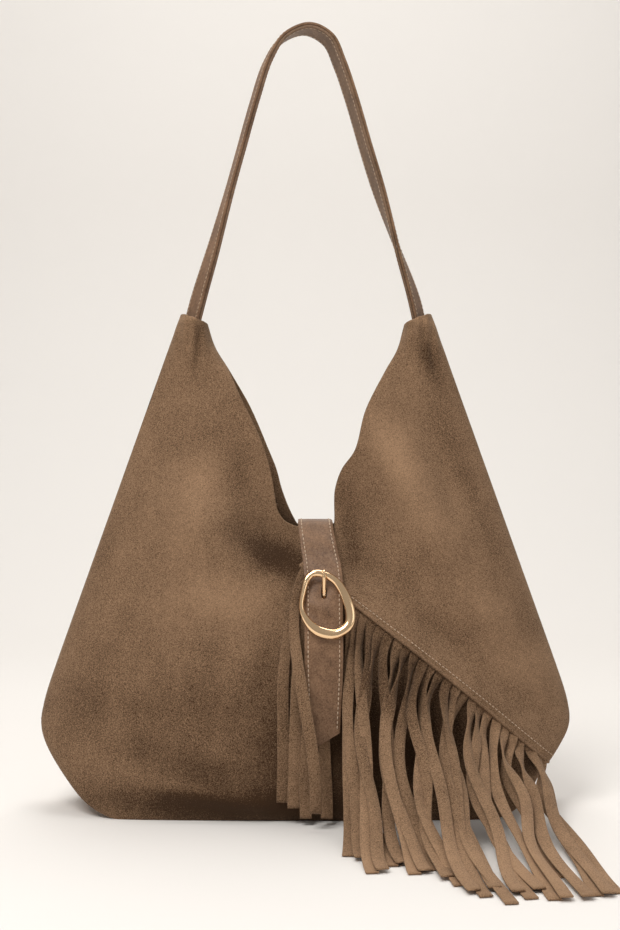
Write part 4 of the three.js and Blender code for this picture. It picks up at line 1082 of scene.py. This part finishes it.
tail_up = [in_plane((-chape_depth(z), z)) for z in (0.202, 0.211, 0.22, chape_top)]
tail = smooth_line([(-0.0019, 0.0014), (-0.0026, 0.006)] + tail_up, 40)
tail_side = unit(np.gradient(tail, axis=0))[:, ::-1] * (1, -1)
front_ply, back_ply = tail + tail_side * chape_ply * 0.52, tail - tail_side * chape_ply * 0.52
loop_radius = bar_radius + loop_gap + chape_ply / 2
loop_angle = np.radians(np.arange(190, 391, 20))
loop_line = loop_radius * np.stack([np.cos(loop_angle), np.sin(loop_angle)], -1)
chape_route = np.vstack([back_ply[8:][::-1], loop_line, [(0.0008, 0.0029)], front_ply[8:]])
chape_n, chape_u = smooth_line(chape_route, 150).T
chape_line = on_buckle(0, chape_u, chape_n)
chape_wide = np.tile((1.0, 0, 0), (len(chape_line), 1))
chape = carry(
    "chape_leather", chape_line, chape_wide, unit(np.cross(chape_wide, tangents(chape_line))),
    flat_section(chape_width, -chape_ply / 2, chape_ply / 2, 0.0004),
)
attach(chape, smooth_leather, "bag", "strap_leather", "buckle_chape")
cut_out(chape, prong_slot(long=0.021, wide=0.0049, middle=0.0025, low=-0.009, high=0.009))


# Buckle: a cast, polished ring in pale gold, wider at some places than at others, with a thin bar set
# back behind it on two posts.
def gold_finish():
    """Polished pale gold, a little duller in places and not quite even."""
    made, tree, shader = finish_material(
        "pale_gold", Roughness=0.16, Metallic=1.0, Base_Color=(0.92, 0.64, 0.38, 1)
    )
    place = object_place(tree)
    dull = math_node(tree, "MULTIPLY_ADD", noise(tree, place, 90, 4, 0.6), 0.14, 0.08)
    tree.links.new(dull, shader.inputs["Roughness"])
    add_bump(tree, shader, noise(tree, place, 160, 2), 0.05, 0.0003)
    return made


gold = gold_finish()


def closed_line(points, count):
    """Points round a smooth closed curve: the middle one of three laps."""
    return smooth_line(np.vstack([points] * 3 + [points[:1]]), 3 * count + 1)[count:2 * count]


ring_out, ring_half_thick, ring_steps, ring_sides = 0.0096, 0.0025, 160, 28
ring_route = np.array([
    (-6.6, 22.6, 6), (8.3, 16, 6.4), (19.6, -6.8, 8), (18.9, -19.3, 7.6), (9.3, -27.1, 8),
    (-3.6, -25.8, 8.6), (-12.5, -19.7, 7), (-19.3, -7.1, 4.2), (-17.7, 7.9, 4.4), (-13.7, 19.5, 5.6),
]) * 0.001
ring_line = closed_line(ring_route, ring_steps)
ring_way = unit(np.roll(ring_line[:, :2], -1, 0) - np.roll(ring_line[:, :2], 1, 0))
across_plane, up_plane, out_of_plane = unit(on_buckle(*np.eye(3)) - on_buckle(0, 0, 0))
ring_wide = ring_way[:, 1:] * across_plane - ring_way[:, :1] * up_plane
ring_half = np.stack([ring_line[:, 2] / 2, np.full(ring_steps, ring_half_thick)], -1)
ring_centre = on_buckle(ring_line[:, 0], ring_line[:, 1], ring_out)
ring = carry(
    "buckle_ring_metal", ring_centre, ring_wide, np.broadcast_to(out_of_plane, ring_wide.shape),
    circle(1.0, ring_sides) * ring_half[:, None], loop=True,
)
attach(ring, gold, "buckle_frame", "gold_metal", "buckle_frame")

post_left, post_right, post_bend, post_end = -0.0191, 0.0186, 0.003, ring_out - 0.001
post_turn = np.linspace(0, math.pi / 2, 8)
bend_x, bend_n = post_bend * (1 - np.sin(post_turn)), post_bend * (1 - np.cos(post_turn))
left_bend = np.stack([post_left + bend_x, bend_n], -1)[::-1]
right_bend = np.stack([post_right - bend_x, bend_n], -1)
bar_route = np.vstack([(post_left, post_end), left_bend, right_bend, (post_right, post_end)])
bar_line = on_buckle(bar_route[:, 0], 0, bar_route[:, 1])
bar_wide = np.broadcast_to(up_plane, bar_line.shape)
bar = carry(
    "buckle_bar_metal", bar_line, bar_wide, np.cross(bar_wide, tangents(bar_line)), circle(bar_radius, 20)
)
attach(bar, gold, "buckle_frame", "gold_metal")


# Prong: an eye that turns on the bar, and a flat arm that comes through the tab and rests on the ring,
# both of the same gold metal.
prong_width, prong_thick, eye_wall, prong_steps = 0.0032, 0.0018, 0.0014, 60
rest_out = ring_out + ring_half_thick + cad_gap + prong_thick / 2
prong_route = smooth_line([
    (0.0016, 0.0024), (0.0044, 0.005), (0.0084, 0.01), (rest_out, 0.0185), (rest_out, 0.022),
    (rest_out - 0.0004, 0.0245),
], prong_steps)
prong_line = on_buckle(prong_x, prong_route[:, 1], prong_route[:, 0])
prong_wide = np.broadcast_to(across_plane, prong_line.shape)
taper = np.sqrt(np.clip((1 - np.linspace(0, 1, prong_steps)) * 14, 0.1, 1))[:, None, None]
prong = carry(
    "buckle_prong_metal", prong_line, prong_wide, np.cross(prong_wide, tangents(prong_line)),
    flat_section(prong_width, -prong_thick / 2, prong_thick / 2, 0.0007) * taper,
)
attach(prong, gold, "buckle_prong", "gold_metal", "buckle_prong")
eye_round = circle(bar_radius + loop_gap + eye_wall / 2, 40)
eye_line = on_buckle(prong_x, eye_round[:, 1], eye_round[:, 0])
eye = carry(
    "buckle_prong_eye_metal", eye_line, np.broadcast_to(across_plane, eye_line.shape),
    unit(eye_line - on_buckle(prong_x, 0, 0)),
    flat_section(prong_width, -eye_wall / 2, eye_wall / 2, 0.0005), loop=True,
)
attach(eye, gold, "buckle_prong", "gold_metal")
